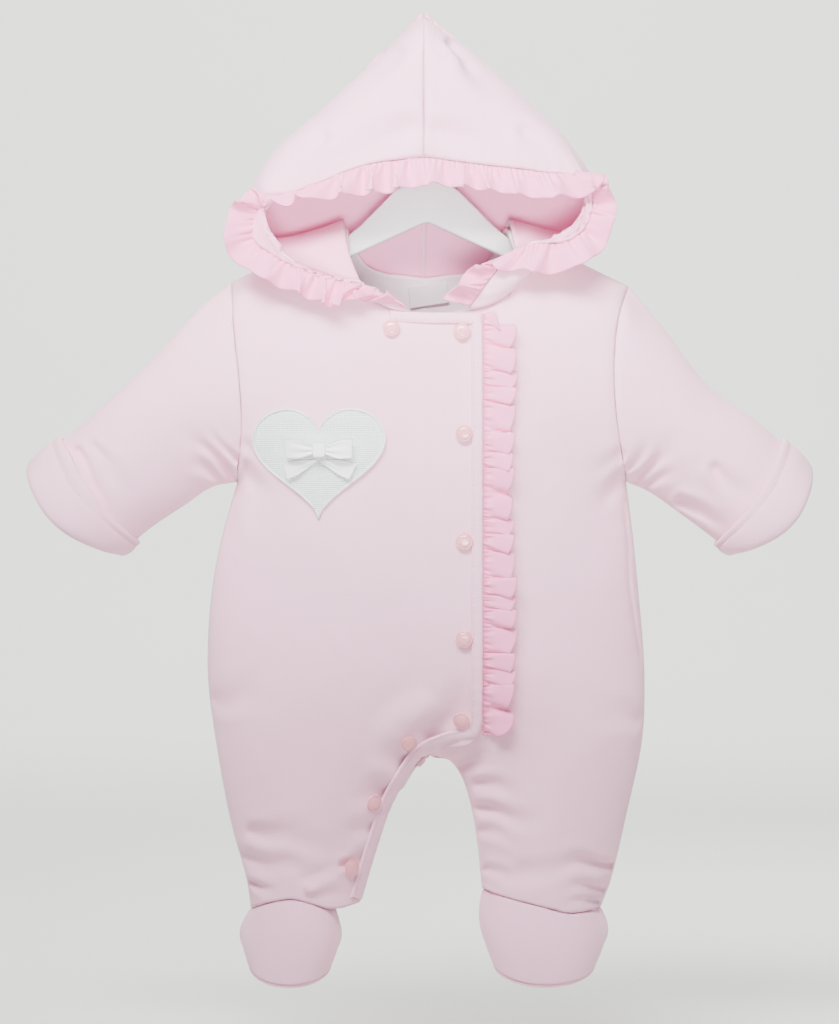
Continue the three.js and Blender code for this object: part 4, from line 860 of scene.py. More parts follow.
@dataclass
class PaddedBody:
    """The two fronts and the back, with the legs."""

    wardrobe: Wardrobe
    fine: int = 7
    armhole_rows: int = 8
    side_rows: int = 18
    torso_rows: int = 18
    turn_rows: int = 3
    leg_rows: int = 8
    shoulder: int = 5
    shoulder_back: int = 4

    def outer_edge(self, side: Side) -> Array:
        """Body edge from the shoulder tip down the armhole and the side to the ankle."""
        hole = Path(ARMHOLE[side]).even(self.armhole_rows, 1.5)
        return np.vstack([hole, Path(SIDE[side]).even(self.side_rows)[1:]])

    def raise_grid(self, grid: Array, depth_of: Callable[[Array, Array], Array], front: bool,
                   seams: Sequence[tuple], edge: Array) -> Array:
        """Fills a flat grid out to its depth.

        Args:
            grid: the coarse grid in the plane.
            depth_of: half depth at a point.
            front: whether it faces -Y.
            seams: more seams of this piece.
            edge: 0 where the fine grid lies on the outline, else 1.

        Returns:
            The fine grid in space.
        """
        x, z = grid[..., 0], grid[..., 2]
        half = depth_of(x, z) * edge
        half = half + FORM.relief(x, z, half, FRONT_CREASES if front else BACK_CREASES, seams)
        out = grid.copy()
        out[..., 1] = (-1 if front else 1) * (HALF_SEAM + np.maximum(half * edge, 0))
        return out

    def front_right(self) -> bpy.types.Object:
        """The front that carries the flap."""
        k, columns = self.fine, 12
        left = self.outer_edge(Side.RIGHT)
        right = np.vstack([Path(FLAP_EDGE[:3]).even(self.torso_rows - self.turn_rows),
                           Path(FLAP_EDGE[2:]).even(self.turn_rows)[1:],
                           Path(INNER_LEG[Side.RIGHT][1:]).even(self.leg_rows)])
        top = np.vstack([straight(SHOULDER_TIP[Side.RIGHT], SHOULDER_NECK[Side.RIGHT], self.shoulder),
                         Path(NECK_FRONT[Side.RIGHT]).even(columns - self.shoulder)[1:]])
        turn = (1 - np.cos(np.pi * np.arange(columns + 1) / columns)) / 2
        bottom = Path(ANKLE[Side.RIGHT]).at(turn)
        fractions = np.array([0, 0.012, 0.045, 0.1, 0.18, 0.28, 0.4, 0.53, 0.66, 0.78, 0.88, 0.95, 1])
        grid = refine(patch(left, right, top, bottom, fractions), k, k)
        edge = np.ones(grid.shape[:2])
        edge[self.armhole_rows * k:, 0] = 0
        edge[0, :self.shoulder * k + 1] = 0
        edge[(self.torso_rows + 1) * k:, -1] = 0
        seams = [*FORM.flap_seams, (FORM.flap_line, 0.9, 1.8, 0.25)]
        full = self.raise_grid(grid, FORM.flap, True, seams, edge)
        piece = cloth_shell("front_right_cloth", [ClothGrid(full, flip=True)], WALL, self.keep_front)
        dress(piece, self.wardrobe.padded, ["front_right"])
        line_inside(piece, self.wardrobe.lining)
        return piece

    def front_left(self) -> bpy.types.Object:
        """The front that lies under the flap."""
        k, columns = self.fine, 11
        right = self.outer_edge(Side.LEFT)
        left = np.vstack([Path(UNDERLAP).even(self.torso_rows),
                          Path(INNER_LEG[Side.LEFT]).even(self.leg_rows)[1:]])
        top = np.vstack([Path(NECK_FRONT[Side.LEFT]).even(columns - self.shoulder),
                         straight(SHOULDER_NECK[Side.LEFT], SHOULDER_TIP[Side.LEFT], self.shoulder)[1:]])
        turn = (1 - np.cos(np.pi * np.arange(columns + 1) / columns)) / 2
        bottom = Path(ANKLE[Side.LEFT]).at(turn)
        fractions = np.array([0, 0.07, 0.16, 0.28, 0.42, 0.56, 0.7, 0.82, 0.91, 0.965, 0.99, 1])
        grid = refine(evened(patch(left, right, top, bottom, fractions), fractions), k, k)
        edge = np.ones(grid.shape[:2])
        edge[self.armhole_rows * k:, -1] = 0
        edge[0, (columns - self.shoulder) * k:] = 0
        edge[self.torso_rows * k:, 0] = 0
        full = self.raise_grid(grid, FORM.depth, True, FORM.front_seams, edge)
        piece = cloth_shell("front_left_cloth", [ClothGrid(full, flip=True)], WALL, self.keep_front)
        dress(piece, self.wardrobe.padded, ["front_left"])
        line_inside(piece, self.wardrobe.lining)
        return piece

    def back(self) -> bpy.types.Object:
        """The back, in one piece down both legs."""
        k, columns = self.fine, 9
        crease = straight(NECK_BACK[2], CROTCH, self.torso_rows)
        steps = np.arange(columns + 1) / columns
        fractions = (1 - np.cos(np.pi * steps / 2) + (1 - np.cos(np.pi * steps)) / 2) / 2
        grids = []
        for side in Side:
            outer = self.outer_edge(side)
            inner = np.vstack([crease, Path(INNER_LEG[side]).even(self.leg_rows)[1:]])
            neck = NECK_BACK[:3] if side is Side.RIGHT else NECK_BACK[:1:-1]
            top = np.vstack([straight(SHOULDER_TIP[side], SHOULDER_NECK[side], self.shoulder_back),
                             Path(neck).even(columns - self.shoulder_back)[1:]])
            bottom = Path(ANKLE[side]).at((1 - np.cos(np.pi * steps)) / 2)
            if side is Side.LEFT:
                bottom = bottom[::-1].copy()
            bottom[:, 2] = ankle_height(side, bottom[:, 0], np.ones(len(bottom), bool))
            grid = refine(patch(outer, inner, top, bottom, fractions), k, k)
            edge = np.ones(grid.shape[:2])
            edge[self.armhole_rows * k:, 0] = 0
            edge[0, :self.shoulder_back * k + 1] = 0
            edge[self.torso_rows * k:, -1] = 0
            full = self.raise_grid(grid, FORM.depth, False, FORM.back_seams, edge)
            grids.append(ClothGrid(full, flip=side is Side.LEFT))
        piece = cloth_shell("back_cloth", grids, WALL, self.keep_back)
        dress(piece, self.wardrobe.padded, ["back"])
        line_inside(piece, self.wardrobe.lining)
        return piece

    @staticmethod
    def keep_front(points: Array) -> Array:
        """Holds inner points in front of the side seams."""
        points[:, 1] = np.minimum(points[:, 1], -HALF_SEAM)
        return points

    @staticmethod
    def keep_back(points: Array) -> Array:
        """Holds inner points behind the side seams."""
        points[:, 1] = np.maximum(points[:, 1], HALF_SEAM)
        return points

    def build(self) -> None:
        """Makes all three pieces."""
        self.front_right()
        self.front_left()
        self.back()


def ankle_height(side: Side, x: Array, at_back: Array) -> Array:
    """Height of the ankle seam at x, lower at the heel."""
    points = Path(ANKLE[side]).even(40)
    z = np.interp(x, points[:, 0], points[:, 2])
    w = (x - points[0, 0]) / (points[-1, 0] - points[0, 0])
    return z - np.where(at_back, ANKLE_BACK_DROP * 4 * w * (1 - w), 0.0)


@dataclass
class Arms:
    """Sleeves with their turned-back cuffs."""

    wardrobe: Wardrobe
    around: int = 120
    rows: int = 84
    end: float = 0.985
    bulge: float = 13.0

    def surface(self, side: Side, v: Array, angle: Array) -> Array:
        """Points of a sleeve, from the armhole (0) to the fold (1), and round it from the top by the front."""
        v, angle = np.broadcast_arrays(np.asarray(v, float), np.asarray(angle, float))
        w = (1 - np.cos(angle)) / 2
        a, b = Path(SLEEVE_TOP[side]).at(v), Path(SLEEVE_UNDER[side]).at(v)
        hole = Path(ARMHOLE[side])
        wide = w[..., None]
        p = a * (1 - wide) + b * wide
        seam = hole.at(w) - (hole.at(0.0) * (1 - wide) + hole.at(1.0) * wide)
        p = p + seam * ((1 - v) ** 2)[..., None]
        out = unit(np.stack([-(b[..., 2] - a[..., 2]), np.zeros_like(w), b[..., 0] - a[..., 0]], -1))
        out = out * np.where(np.sign(out[..., :1]) == side.sign, 1.0, -1.0)
        p = p + out * (self.bulge * v**4 * np.sin(np.pi * w))[..., None]
        x, z = p[..., 0], p[..., 2] + 0.5 * w**6 * (1 - v) ** 8
        half = FORM.depth(x, z)
        front = np.sin(angle) >= 0
        relief = np.where(front, FORM.relief(x, z, half, FRONT_CREASES), FORM.relief(x, z, half, BACK_CREASES))
        half = half + relief * smooth((0.93 - v) / 0.1)
        y = np.where(front, -1.0, 1.0) * half
        y = np.where((w < 1e-6) | (w > 1 - 1e-6), 0.0, y)
        return np.stack([x + side.sign * (SEAM + 0.06), y, z], -1)

    def sleeve(self, side: Side) -> bpy.types.Object:
        """One sleeve, open at both ends."""
        v = np.linspace(0, self.end, self.rows)[:, None]
        angle = np.linspace(0, 2 * np.pi, self.around, endpoint=False)[None]
        grid = self.surface(side, v, angle)
        name = f"sleeve_{side.value}"
        piece = cloth_shell(f"{name}_cloth", [ClothGrid(grid, ring=True, flip=side is Side.RIGHT)], WALL)
        dress(piece, self.wardrobe.padded, [name])
        line_inside(piece, self.wardrobe.lining)
        return piece

    def cuff(self, side: Side) -> bpy.types.Object:
        """A turned-back cuff with its lip over the sleeve's end."""
        section = [
            (0.834, 1.2), (0.827, 1.7), (0.826, 2.8), (0.831, 3.8), (0.842, 4.3), (0.856, 4.1), (0.864, 3.3),
            (0.872, 4.0), (0.890, 4.6), (0.920, 4.7), (0.952, 4.1), (0.976, 3.1), (0.991, 1.6), (0.999, -0.2),
            (1.001, -1.6), (0.999, -2.5), (0.994, -2.6), (0.992, -1.4), (0.991, 0.2), (0.989, 1.2), (0.96, 1.25),
            (0.91, 1.3), (0.87, 1.25),
        ]
        angle = np.linspace(0, 2 * np.pi, self.around, endpoint=False)
        rings = []
        for v, out in section:
            p = self.surface(side, v, angle)
            dv = p - self.surface(side, max(v - 0.02, 0.0), angle)
            da = self.surface(side, v, angle + 0.03) - self.surface(side, v, angle - 0.03)
            n = unit(np.cross(da, dv))
            core = (self.surface(side, v, np.array(0.0)) + self.surface(side, v, np.array(np.pi))) / 2
            n = n * np.where(np.sum(n * (p - core), -1, keepdims=True) < 0, -1.0, 1.0)
            wave = 0.35 * np.sin(3 * angle + 9 * v) + 0.2 * np.sin(7 * angle + 2) if out > 2 else 0 * angle
            rings.append(p + n * (out + wave)[:, None])
        rows = np.array([*rings, rings[0]])
        faces = grid_faces(len(rows), self.around, True, side is Side.RIGHT) % (len(rings) * self.around)
        name = f"cuff_{side.value}"
        piece = make_mesh(f"{name}_cloth", np.array(rings).reshape(-1, 3), faces.tolist())
        dress(piece, self.wardrobe.padded, [name])
        return piece

    def cuff_stitches(self, side: Side) -> None:
        """The sewn line near the cuff's upper edge."""
        angle = np.linspace(0.05, 2 * np.pi - 0.05, 240)
        p = self.surface(side, 0.864, angle)
        dv = p - self.surface(side, 0.844, angle)
        da = self.surface(side, 0.864, angle + 0.03) - self.surface(side, 0.864, angle - 0.03)
        n = unit(np.cross(da, dv))
        core = (self.surface(side, 0.864, np.array(0.0)) + self.surface(side, 0.864, np.array(np.pi))) / 2
        n = n * np.where(np.sum(n * (p - core), -1, keepdims=True) < 0, -1.0, 1.0)
        piece = stitch_row(f"cuff_{side.value}_stitches", p + n * 3.4, n)
        dress(piece, self.wardrobe.thread)

    def build(self) -> None:
        """Makes both sleeves and cuffs."""
        for side in Side:
            self.sleeve(side)
            self.cuff(side)
            self.cuff_stitches(side)


@dataclass
class Feet:
    """Foot uppers and their soles."""

    wardrobe: Wardrobe
    around: int = 120
    rows: int = 42

    def point(self, side: Side, t: Array, angle: Array) -> Array:
        """Points of a foot, from its ankle (0) to the sole's rim (1), round it from outside by the front."""
        foot = FEET[side]
        t, angle = np.broadcast_arrays(np.asarray(t, float), np.asarray(angle, float))
        x = foot["inner"] + (foot["outer"] - foot["inner"]) * (1 + np.cos(angle)) / 2
        front = np.sin(angle) > 0
        edge = np.sqrt(np.maximum(0, 1 - np.cos(angle) ** 8))
        z0 = ankle_height(side, x, ~front) - SEAM - 0.4
        half = np.where(np.abs(np.sin(angle)) < 1e-6, 0.0, FORM.depth(x, z0 + 2) * edge)
        ankle = np.stack([x, np.where(front, -half, half), z0], -1)
        turn = 1.0 if foot["outer"] > foot["inner"] else -1.0
        reach = -np.sign(np.sin(angle)) * np.abs(np.sin(angle)) ** 0.9
        sole = np.stack([foot["x"] + turn * foot["half_width"] * np.cos(angle),
                         foot["y"] + foot["half_length"] * reach, foot["z"] + foot["dip"] * reach], -1)
        wide = t[..., None]
        p = ankle * (1 - wide) + sole * wide
        middle = (foot["inner"] + foot["outer"]) / 2 * (1 - t) + foot["x"] * t
        out = np.stack([p[..., 0] - middle, p[..., 1] - foot["y"] * t, np.zeros_like(t)], -1)
        out = unit(out)
        swell = np.sin(np.pi * np.minimum(1, t * 1.02)) * np.where(front, 5.0, 6.0)
        pucker = 0.5 * np.sin(angle * 23 + 1.2 * np.sin(angle * 5)) * np.exp(-t / 0.12) * smooth(t / 0.04)
        pinch = -1.0 * np.exp(-((t / 0.035) ** 2)) - 0.8 * np.exp(-(((1 - t) / 0.03) ** 2))
        soft = 0.5 * np.sin(angle * 3 + 2 * t) * np.sin(np.pi * t) + 0.25 * np.sin(angle * 7 + 5 * t)
        return p + out * (swell + pucker + pinch + soft * np.sin(np.pi * t))[..., None]

    def normal(self, side: Side) -> Array:
        """Direction out of the sole."""
        return unit(np.array([0.0, FEET[side]["dip"], -FEET[side]["half_length"]]))

    def build(self) -> None:
        """Makes both feet."""
        angle = np.linspace(0, 2 * np.pi, self.around, endpoint=False)[None]
        for side in Side:
            grid = self.point(side, np.linspace(0, 1, self.rows)[:, None], angle)
            name = f"foot_upper_{side.value}"
            piece = cloth_shell(f"{name}_cloth", [ClothGrid(grid, ring=True, flip=side is Side.RIGHT)], WALL)
            dress(piece, self.wardrobe.padded, [name])
            self.sole(side, self.point(side, np.array(1.0), angle[0]))

    def sole(self, side: Side, rim: Array) -> None:
        """A padded sole whose rim is in line with the upper's."""
        n, middle = self.normal(side), rim.mean(0)
        stages = [(0.0, SEAM), (0.6, SEAM), (0.95, SEAM), (0.985, SEAM + 0.5), (1.0, SEAM + 1.2),
                  (0.995, SEAM + 2.0), (0.965, 3.2), (0.92, 3.8), (0.8, 4.4), (0.6, 5.0), (0.3, 5.3), (0.0, 5.4)]
        rings = np.array([middle + (rim - middle) * size + n * drop for size, drop in stages])
        faces = grid_faces(len(stages), self.around, True, side is Side.RIGHT)
        near = np.round(rings.reshape(-1, 3) * 500).astype(np.int64)
        points, where = np.unique(near, axis=0, return_inverse=True)
        loops = [list(dict.fromkeys(f)) for f in where.ravel()[faces].tolist()]
        name = f"sole_{side.value}"
        piece = make_mesh(f"{name}_cloth", points / 500, [f for f in loops if len(f) > 2])
        dress(piece, self.wardrobe.padded, [name])


@dataclass
class Hood:
    """The hood's two halves and the frill round its opening."""

    wardrobe: Wardrobe
    columns: int = 16
    rows: int = 15
    fine: int = 6
    waves: int = 26
    frill_width: float = 20.0
    frill_root: float = 2.3
    frill_thick: float = 1.1
    frill_height: float = 5.2

    def point(self, side: Side, v: float, u: float) -> Array:
        """A point of a hood row, from its front edge round its turn to the centre of the back."""
        turn = Path(HOOD_TURN[side]).at(v)
        front = u < 0.5
        if front:
            share = u / 0.5
            end = Path([r[:3] for r in HOOD_EDGE[side]]).at(v * 0.999)
        else:
            share = (1 - u) / 0.5
            y = HOOD_BACK_NECK_Y + (HOOD_BACK_TOP_Y - HOOD_BACK_NECK_Y) * float(smooth(v * 1.4))
            z0 = NECK_BACK[2][1] + 0.5
            end = np.array([side.sign * HALF_SEAM, y, z0 + (PEAK_Z - z0) * v])
        p = end + (turn - end) * math.sin(math.pi * share / 2)
        gap = math.hypot(p[0] - turn[0], p[2] - turn[2])
        round_off = math.sqrt(1 - (1 - min(1.0, gap / 46)) ** 2)
        y = max(abs(end[1]) * round_off, FORM.clearance(p[0], p[2]))
        p[1] = -y if front else y
        if v > 0.999 and not front:
            p = np.array([side.sign * HALF_SEAM, 0.0, PEAK_Z])
        return p

    def grid(self, side: Side) -> Array:
        """The hood half's rows as in its solid."""
        half = self.columns // 2
        if side is Side.RIGHT:
            front_line = [(-9.6, -190), *reversed(NECK_FRONT[side][1:4]), SHOULDER_NECK[side]]
        else:
            front_line = [(32.2, -188.6), *NECK_FRONT[side][1:]]
        back_line = NECK_BACK[:3] if side is Side.RIGHT else NECK_BACK[:1:-1]
        neck = np.vstack([Path(front_line).even(half), Path(back_line).even(half)[1:]])
        carry = FORM.depth(neck[:, 0], neck[:, 2])
        rows = np.zeros((self.rows + 1, self.columns + 1, 3))
        for j in range(self.rows + 1):
            v = j / self.rows
            for i in range(self.columns + 1):
                p = self.point(side, v, i / self.columns)
                base = self.point(side, 0.0, i / self.columns)
                fade = max(0.0, 1 - v / 0.34) ** 1.5
                p[0] += (neck[i][0] - base[0]) * fade
                p[2] += (neck[i][2] - base[2]) * fade
                way = -1.0 if i < half else 1.0
                clear = FORM.clearance(p[0], p[2])
                if abs(p[1]) < clear:
                    p[1] = way * clear
                if j == 0:
                    p[1] = way * (max(carry[i], FORM.near_depth(p[0], p[2])) + 2)
                if j < 4:
                    p[2] += 3.4 * float(smooth(1 - carry[i] / 22)) * (1 - j / 4)
                if j == 0 and i == half:
                    p[1] = 0.0
                if i == self.columns or j == self.rows:
                    p[0] = side.sign * HALF_SEAM
                rows[j, i] = p
        return rows

    def relief(self, side: Side, grid: Array) -> Array:
        """Gathers at the frill's seam, the centre seam's pinch and soft folds, along the surface's normals."""
        rows, columns = grid.shape[:2]
        faces = grid_faces(rows, columns, False, side is Side.RIGHT)
        normals = grid_normals(grid.reshape(-1, 3), faces).reshape(grid.shape)
        x, y, z = grid[..., 0], grid[..., 1], grid[..., 2]
        u = np.linspace(0, 1, columns)[None]
        v = np.linspace(0, 1, rows)[:, None]
        from_edge = np.linalg.norm(grid - grid[:, :1], axis=-1)
        phase = 2 * np.pi * self.waves * v / 2 * 1.9
        amount = 0.75 * np.sin(phase + 1.3 * np.sin(v * 17)) * np.exp(-from_edge / 8) * smooth(from_edge / 2)
        amount -= 1.1 * np.exp(-((from_edge / 2.2) ** 2))
        seam = np.exp(-((np.abs(x) / 2.4) ** 2)) * smooth((z + 84) / 10) * (y < 6)
        back_seam = np.exp(-((np.abs(x) / 2.6) ** 2)) * (y > 6)
        amount -= 1.2 * seam + 1.0 * back_seam
        fold_rows = [(20, 4, 34, -20, 5, 1.6), (30, -12, 58, -44, 8, 1.0), (-20, -4, -52, -40, 9, 0.8),
                     (6, -60, 46, -74, 9, 0.8), (-8, -60, -60, -84, 10, 0.9), (70, -60, 96, -84, 8, 1.0),
                     (-74, -66, -104, -98, 8, 1.0)]
        behind = 0.9 * crease_relief(x + 9, z + 5, fold_rows) * (y > 0)
        amount += crease_relief(x, z, fold_rows) * (y < 0) + behind
        amount += 0.9 * wadding(x + 40, z + 10) * smooth(v / 0.1) * smooth((1 - v) / 0.06)
        amount *= np.minimum(1, smooth(u * 40) + 0.4)
        out = grid + normals * amount[..., None]
        middle = np.abs(x) < 0.2
        out[..., 0] = np.where(middle, grid[..., 0], out[..., 0])
        out[..., 0] = side.sign * np.maximum(side.sign * out[..., 0], HALF_SEAM)
        return out

    def half(self, side: Side, coarse: Array) -> None:
        """One half of the hood."""
        grid = self.relief(side, refine(coarse, self.fine, self.fine))

        def keep(points: Array) -> Array:
            """Holds inner points on their own side of the centre seam."""
            points[:, 0] = side.sign * np.maximum(side.sign * points[:, 0], HALF_SEAM)
            return points

        name = f"hood_{side.value}"
        piece = cloth_shell(f"{name}_cloth", [ClothGrid(grid, flip=side is Side.RIGHT)], HOOD_WALL, keep)
        dress(piece, self.wardrobe.hood, [name])
        # The inner layer takes the deeper pink with the painted shade of the hood's hollow.
        line_inside(piece, self.wardrobe.hood_lining_painted_shade)

    def frill(self, right: Array, left: Array) -> None:
        """The gathered frill, from one side of the neck over the top to the other."""
        top = np.array([[0.0, HOOD_EDGE[Side.LEFT][-1][2], HOOD_EDGE[Side.LEFT][-1][1]]])
        path = Path(np.vstack([right[:-1, 0], top, left[:-1, 0][::-1]]))
        lean_right, lean_left = ([r[3] for r in HOOD_EDGE[side][:-1]] for side in Side)
        leans = lean_right + [270] + lean_left[::-1]
        turned = [float(leans[0])]
        for a, b in zip(leans, leans[1:]):
            turned.append(turned[-1] + (b - a) - 360 * round((b - a) / 360))
        lean = Path(np.array([(i, angle, 0.0) for i, angle in enumerate(turned)]))
        s = 0.004 + 0.992 * np.linspace(0, 1, self.waves * 40 + 1)
        t = np.linspace(0.0, 1.0, 17)
        p = path.at_knot(s)
        knots = []
        for value in s:
            side = Side.RIGHT if value < 0.5 else Side.LEFT
            edge = Path([r[:3] for r in HOOD_EDGE[side]])
            share = float(np.interp(min(1.0, 2 * min(value, 1 - value)), edge.travel, edge.knot))
            knots.append(share / 2 if value < 0.5 else 1 - share / 2)
        angle = np.radians(lean.at_knot(np.array(knots))[:, 1])
        direction = unit(np.stack([np.cos(angle), np.full(len(s), -0.35), np.sin(angle)], -1))
        tangent = unit(path.at_knot(np.minimum(s + 0.003, 1)) - path.at_knot(np.maximum(s - 0.003, 0)))
        normal = unit(np.cross(direction, tangent))
        normal = normal * np.where(normal[:, 1:2] > 0, -1.0, 1.0)
        grow = t[None] ** 0.9
        uneven = (1 + 0.28 * np.sin(19 * s) + 0.2 * np.sin(47 * s) + 0.12 * np.sin(113 * s))[:, None]
        phase = (2 * np.pi * self.waves * s + 0.9 * np.sin(13 * s) + 1.0 * np.sin(41 * s + 1))[:, None]
        wave = np.sin(phase + 0.7 * np.cos(phase)) * self.frill_height * uneven * grow
        pleat = np.sin(2.1 * phase + 1) + 0.5 * np.sin(3.7 * phase)
        wave = wave + 1.1 * pleat * np.exp(-((t[None] / 0.55) ** 2)) * smooth(t[None] / 0.14)
        tuck = np.sin(5.3 * phase + 1.5 * np.sin(37 * s)[:, None])
        wave = wave + 0.9 * tuck * np.exp(-((t[None] / 0.42) ** 2)) * smooth(t[None] / 0.08)
        corner = np.exp(-((np.hypot(p[:, 0] - 122, p[:, 2] + 96) / 13) ** 2))[:, None]
        broad = (1 + 0.09 * np.sin(31 * s))[:, None] * (1 - 0.5 * corner)
        reach = self.frill_root - 1.6 + t[None] * (self.frill_width + 2.2) * broad
        reach = reach + (1.3 * np.sin(phase + 0.6) - 1.3) * grow**2
        slide = 4.2 * uneven * grow * np.cos(phase + 0.3)
        grid = (p[:, None] + direction[:, None] * reach[..., None] + normal[:, None] * wave[..., None]
                + tangent[:, None] * slide[..., None])
        piece = cloth_shell("hood_frill_cloth", [ClothGrid(grid)], self.frill_thick)
        dress(piece, self.wardrobe.frill, ["hood_frill"])

    def build(self) -> None:
        """Makes both halves and the frill."""
        grids = {side: self.grid(side) for side in Side}
        for side in Side:
            self.half(side, grids[side])
        self.frill(grids[Side.RIGHT], grids[Side.LEFT])


@dataclass
class FrontFrill:
    """The gathered frill beside the flap's edge."""

    wardrobe: Wardrobe
    waves: int = 21
    width: float = 21.6
    root: float = 4.0
    thick: float = 1.0
    height: float = 6.6

    def build(self) -> None:
        """Makes the frill."""
        s = np.linspace(0, 1, self.waves * 40 + 1)[:, None]
        t = np.concatenate([[-1.0, -0.4], np.linspace(0, 1, 16)])[None]
        grow = np.maximum(0, t) ** 0.8
        z = (FLAP_EDGE[0][1] - 0.6) * (1 - s) + (FLAP_EDGE[2][1] - 9) * s
        uneven = 1 + 0.22 * np.sin(7.3 * s * np.pi) + 0.2 * np.sin(23 * s * np.pi)
        phase = 2 * np.pi * self.waves * s + 1.2 * np.sin(9 * s) + 1.3 * np.sin(37 * s)
        wave = (1 + np.sin(phase + 0.7 * np.cos(phase))) / 2
        fade = 0.35 + 0.65 * smooth(np.minimum(s, 1 - s) / 0.035)
        span = self.width * (1 + 0.06 * np.sin(11 * s) + 0.03 * np.sin(53 * s)) * fade
        x = FLAP_X + np.where(t < 0, t * self.root, 0.5 + t * span)
        x = x + 2.2 * grow**2 * (np.sin(phase + 0.9) - 0.7)
        lift = SEAM + self.thick + self.height * uneven * grow * wave + 0.5 * grow
        lift = lift + 0.7 * (1 + np.sin(2.3 * phase)) * np.exp(-(((t - 0.16) / 0.18) ** 2))
        lift = lift + 0.45 * (1 + np.sin(5.1 * phase)) * np.exp(-(((t - 0.08) / 0.16) ** 2))
        droop = 2.2 * grow**1.5
        slide = 3.4 * uneven * grow * np.cos(phase) - droop
        x, z = np.broadcast_arrays(x, z + 0 * t)
        y = -(HALF_SEAM + FORM.depth(x, z) + lift)
        grid = np.stack([x, y, z + slide], -1)
        piece = cloth_shell("front_frill_cloth", [ClothGrid(grid, flip=True)], self.thick)
        dress(piece, self.wardrobe.frill, ["front_frill"])


@dataclass
class EdgeBinding:
    """The folded band along the flap's edge, with its sewn line."""

    wardrobe: Wardrobe
    width: float = 8.0
    proud: float = 3.4
    turn_x: float = -15.0
    turn_z: float = -523.0

    def build(self) -> None:
        """Makes the band and the stitches on it."""
        path = Path(BAND_LINE)
        share = np.linspace(0, 1, 460)
        p, ahead = path.at(share), path.tangent(share)
        inward = unit(np.stack([ahead[:, 2], np.zeros(len(share)), -ahead[:, 0]], -1))
        section = [(0.35, 0.2), (0.5, 1.2), (1.1, 1.9), (2.4, 2.2), (4.0, 2.3), (5.6, 2.2), (6.6, 1.7),
                   (7.2, 1.9), (7.9, 1.7), (8.3, 0.9), (8.4, 0.1)]
        columns = []
        for w, out in section:
            q = p + inward * w
            away = np.hypot(q[:, 0] - self.turn_x, q[:, 2] - self.turn_z)
            proud = 0.35 * self.proud * smooth(1 - away / 34)
            columns.append(FORM.on_flap(q[:, 0], q[:, 2], out + proud + 0.1 * np.sin(share * 400)))
        piece = cloth_shell("edge_binding_cloth", [ClothGrid(np.stack(columns, 1))], 0.9)
        dress(piece, self.wardrobe.binding, ["edge_binding"])
        for name, w, out in (("edge_binding_stitches", 6.7, 1.9),):
            q = p + inward * w
            away = np.hypot(q[:, 0] - self.turn_x, q[:, 2] - self.turn_z)
            line = FORM.on_flap(q[:, 0], q[:, 2], out + 0.35 * self.proud * smooth(1 - away / 34))
            above = FORM.on_flap(q[:, 0], q[:, 2], out + 1.0)
            stitches = stitch_row(name, line, unit(above - line))
            dress(stitches, self.wardrobe.thread)


def deselect() -> None:
    """Leaves edit mode and clears the selection."""
    if bpy.context.mode != "OBJECT":
        bpy.ops.object.mode_set(mode="OBJECT")
    for item in bpy.context.selected_objects:
        item.select_set(False)


def pick(test: Callable[[Vector, Vector], bool]) -> None:
    """Selects the faces whose centre and normal pass a test. It starts and ends in edit mode."""
    bpy.ops.object.mode_set(mode="OBJECT")
    mesh = bpy.context.active_object.data
    for item in (*mesh.vertices, *mesh.edges):
        item.select = False
    for face in mesh.polygons:
        face.select = test(face.center, face.normal)
    bpy.ops.object.mode_set(mode="EDIT")
    bpy.ops.mesh.select_mode(type="FACE")


def finish_modifiers(piece: bpy.types.Object) -> None:
    """Applies a piece's modifiers and moves its place into its mesh."""
    bpy.context.view_layer.objects.active = piece
    for modifier in list(piece.modifiers):
        bpy.ops.object.modifier_apply(modifier=modifier.name)
    piece.data.transform(piece.matrix_basis)
    piece.matrix_basis = Matrix.Identity(4)


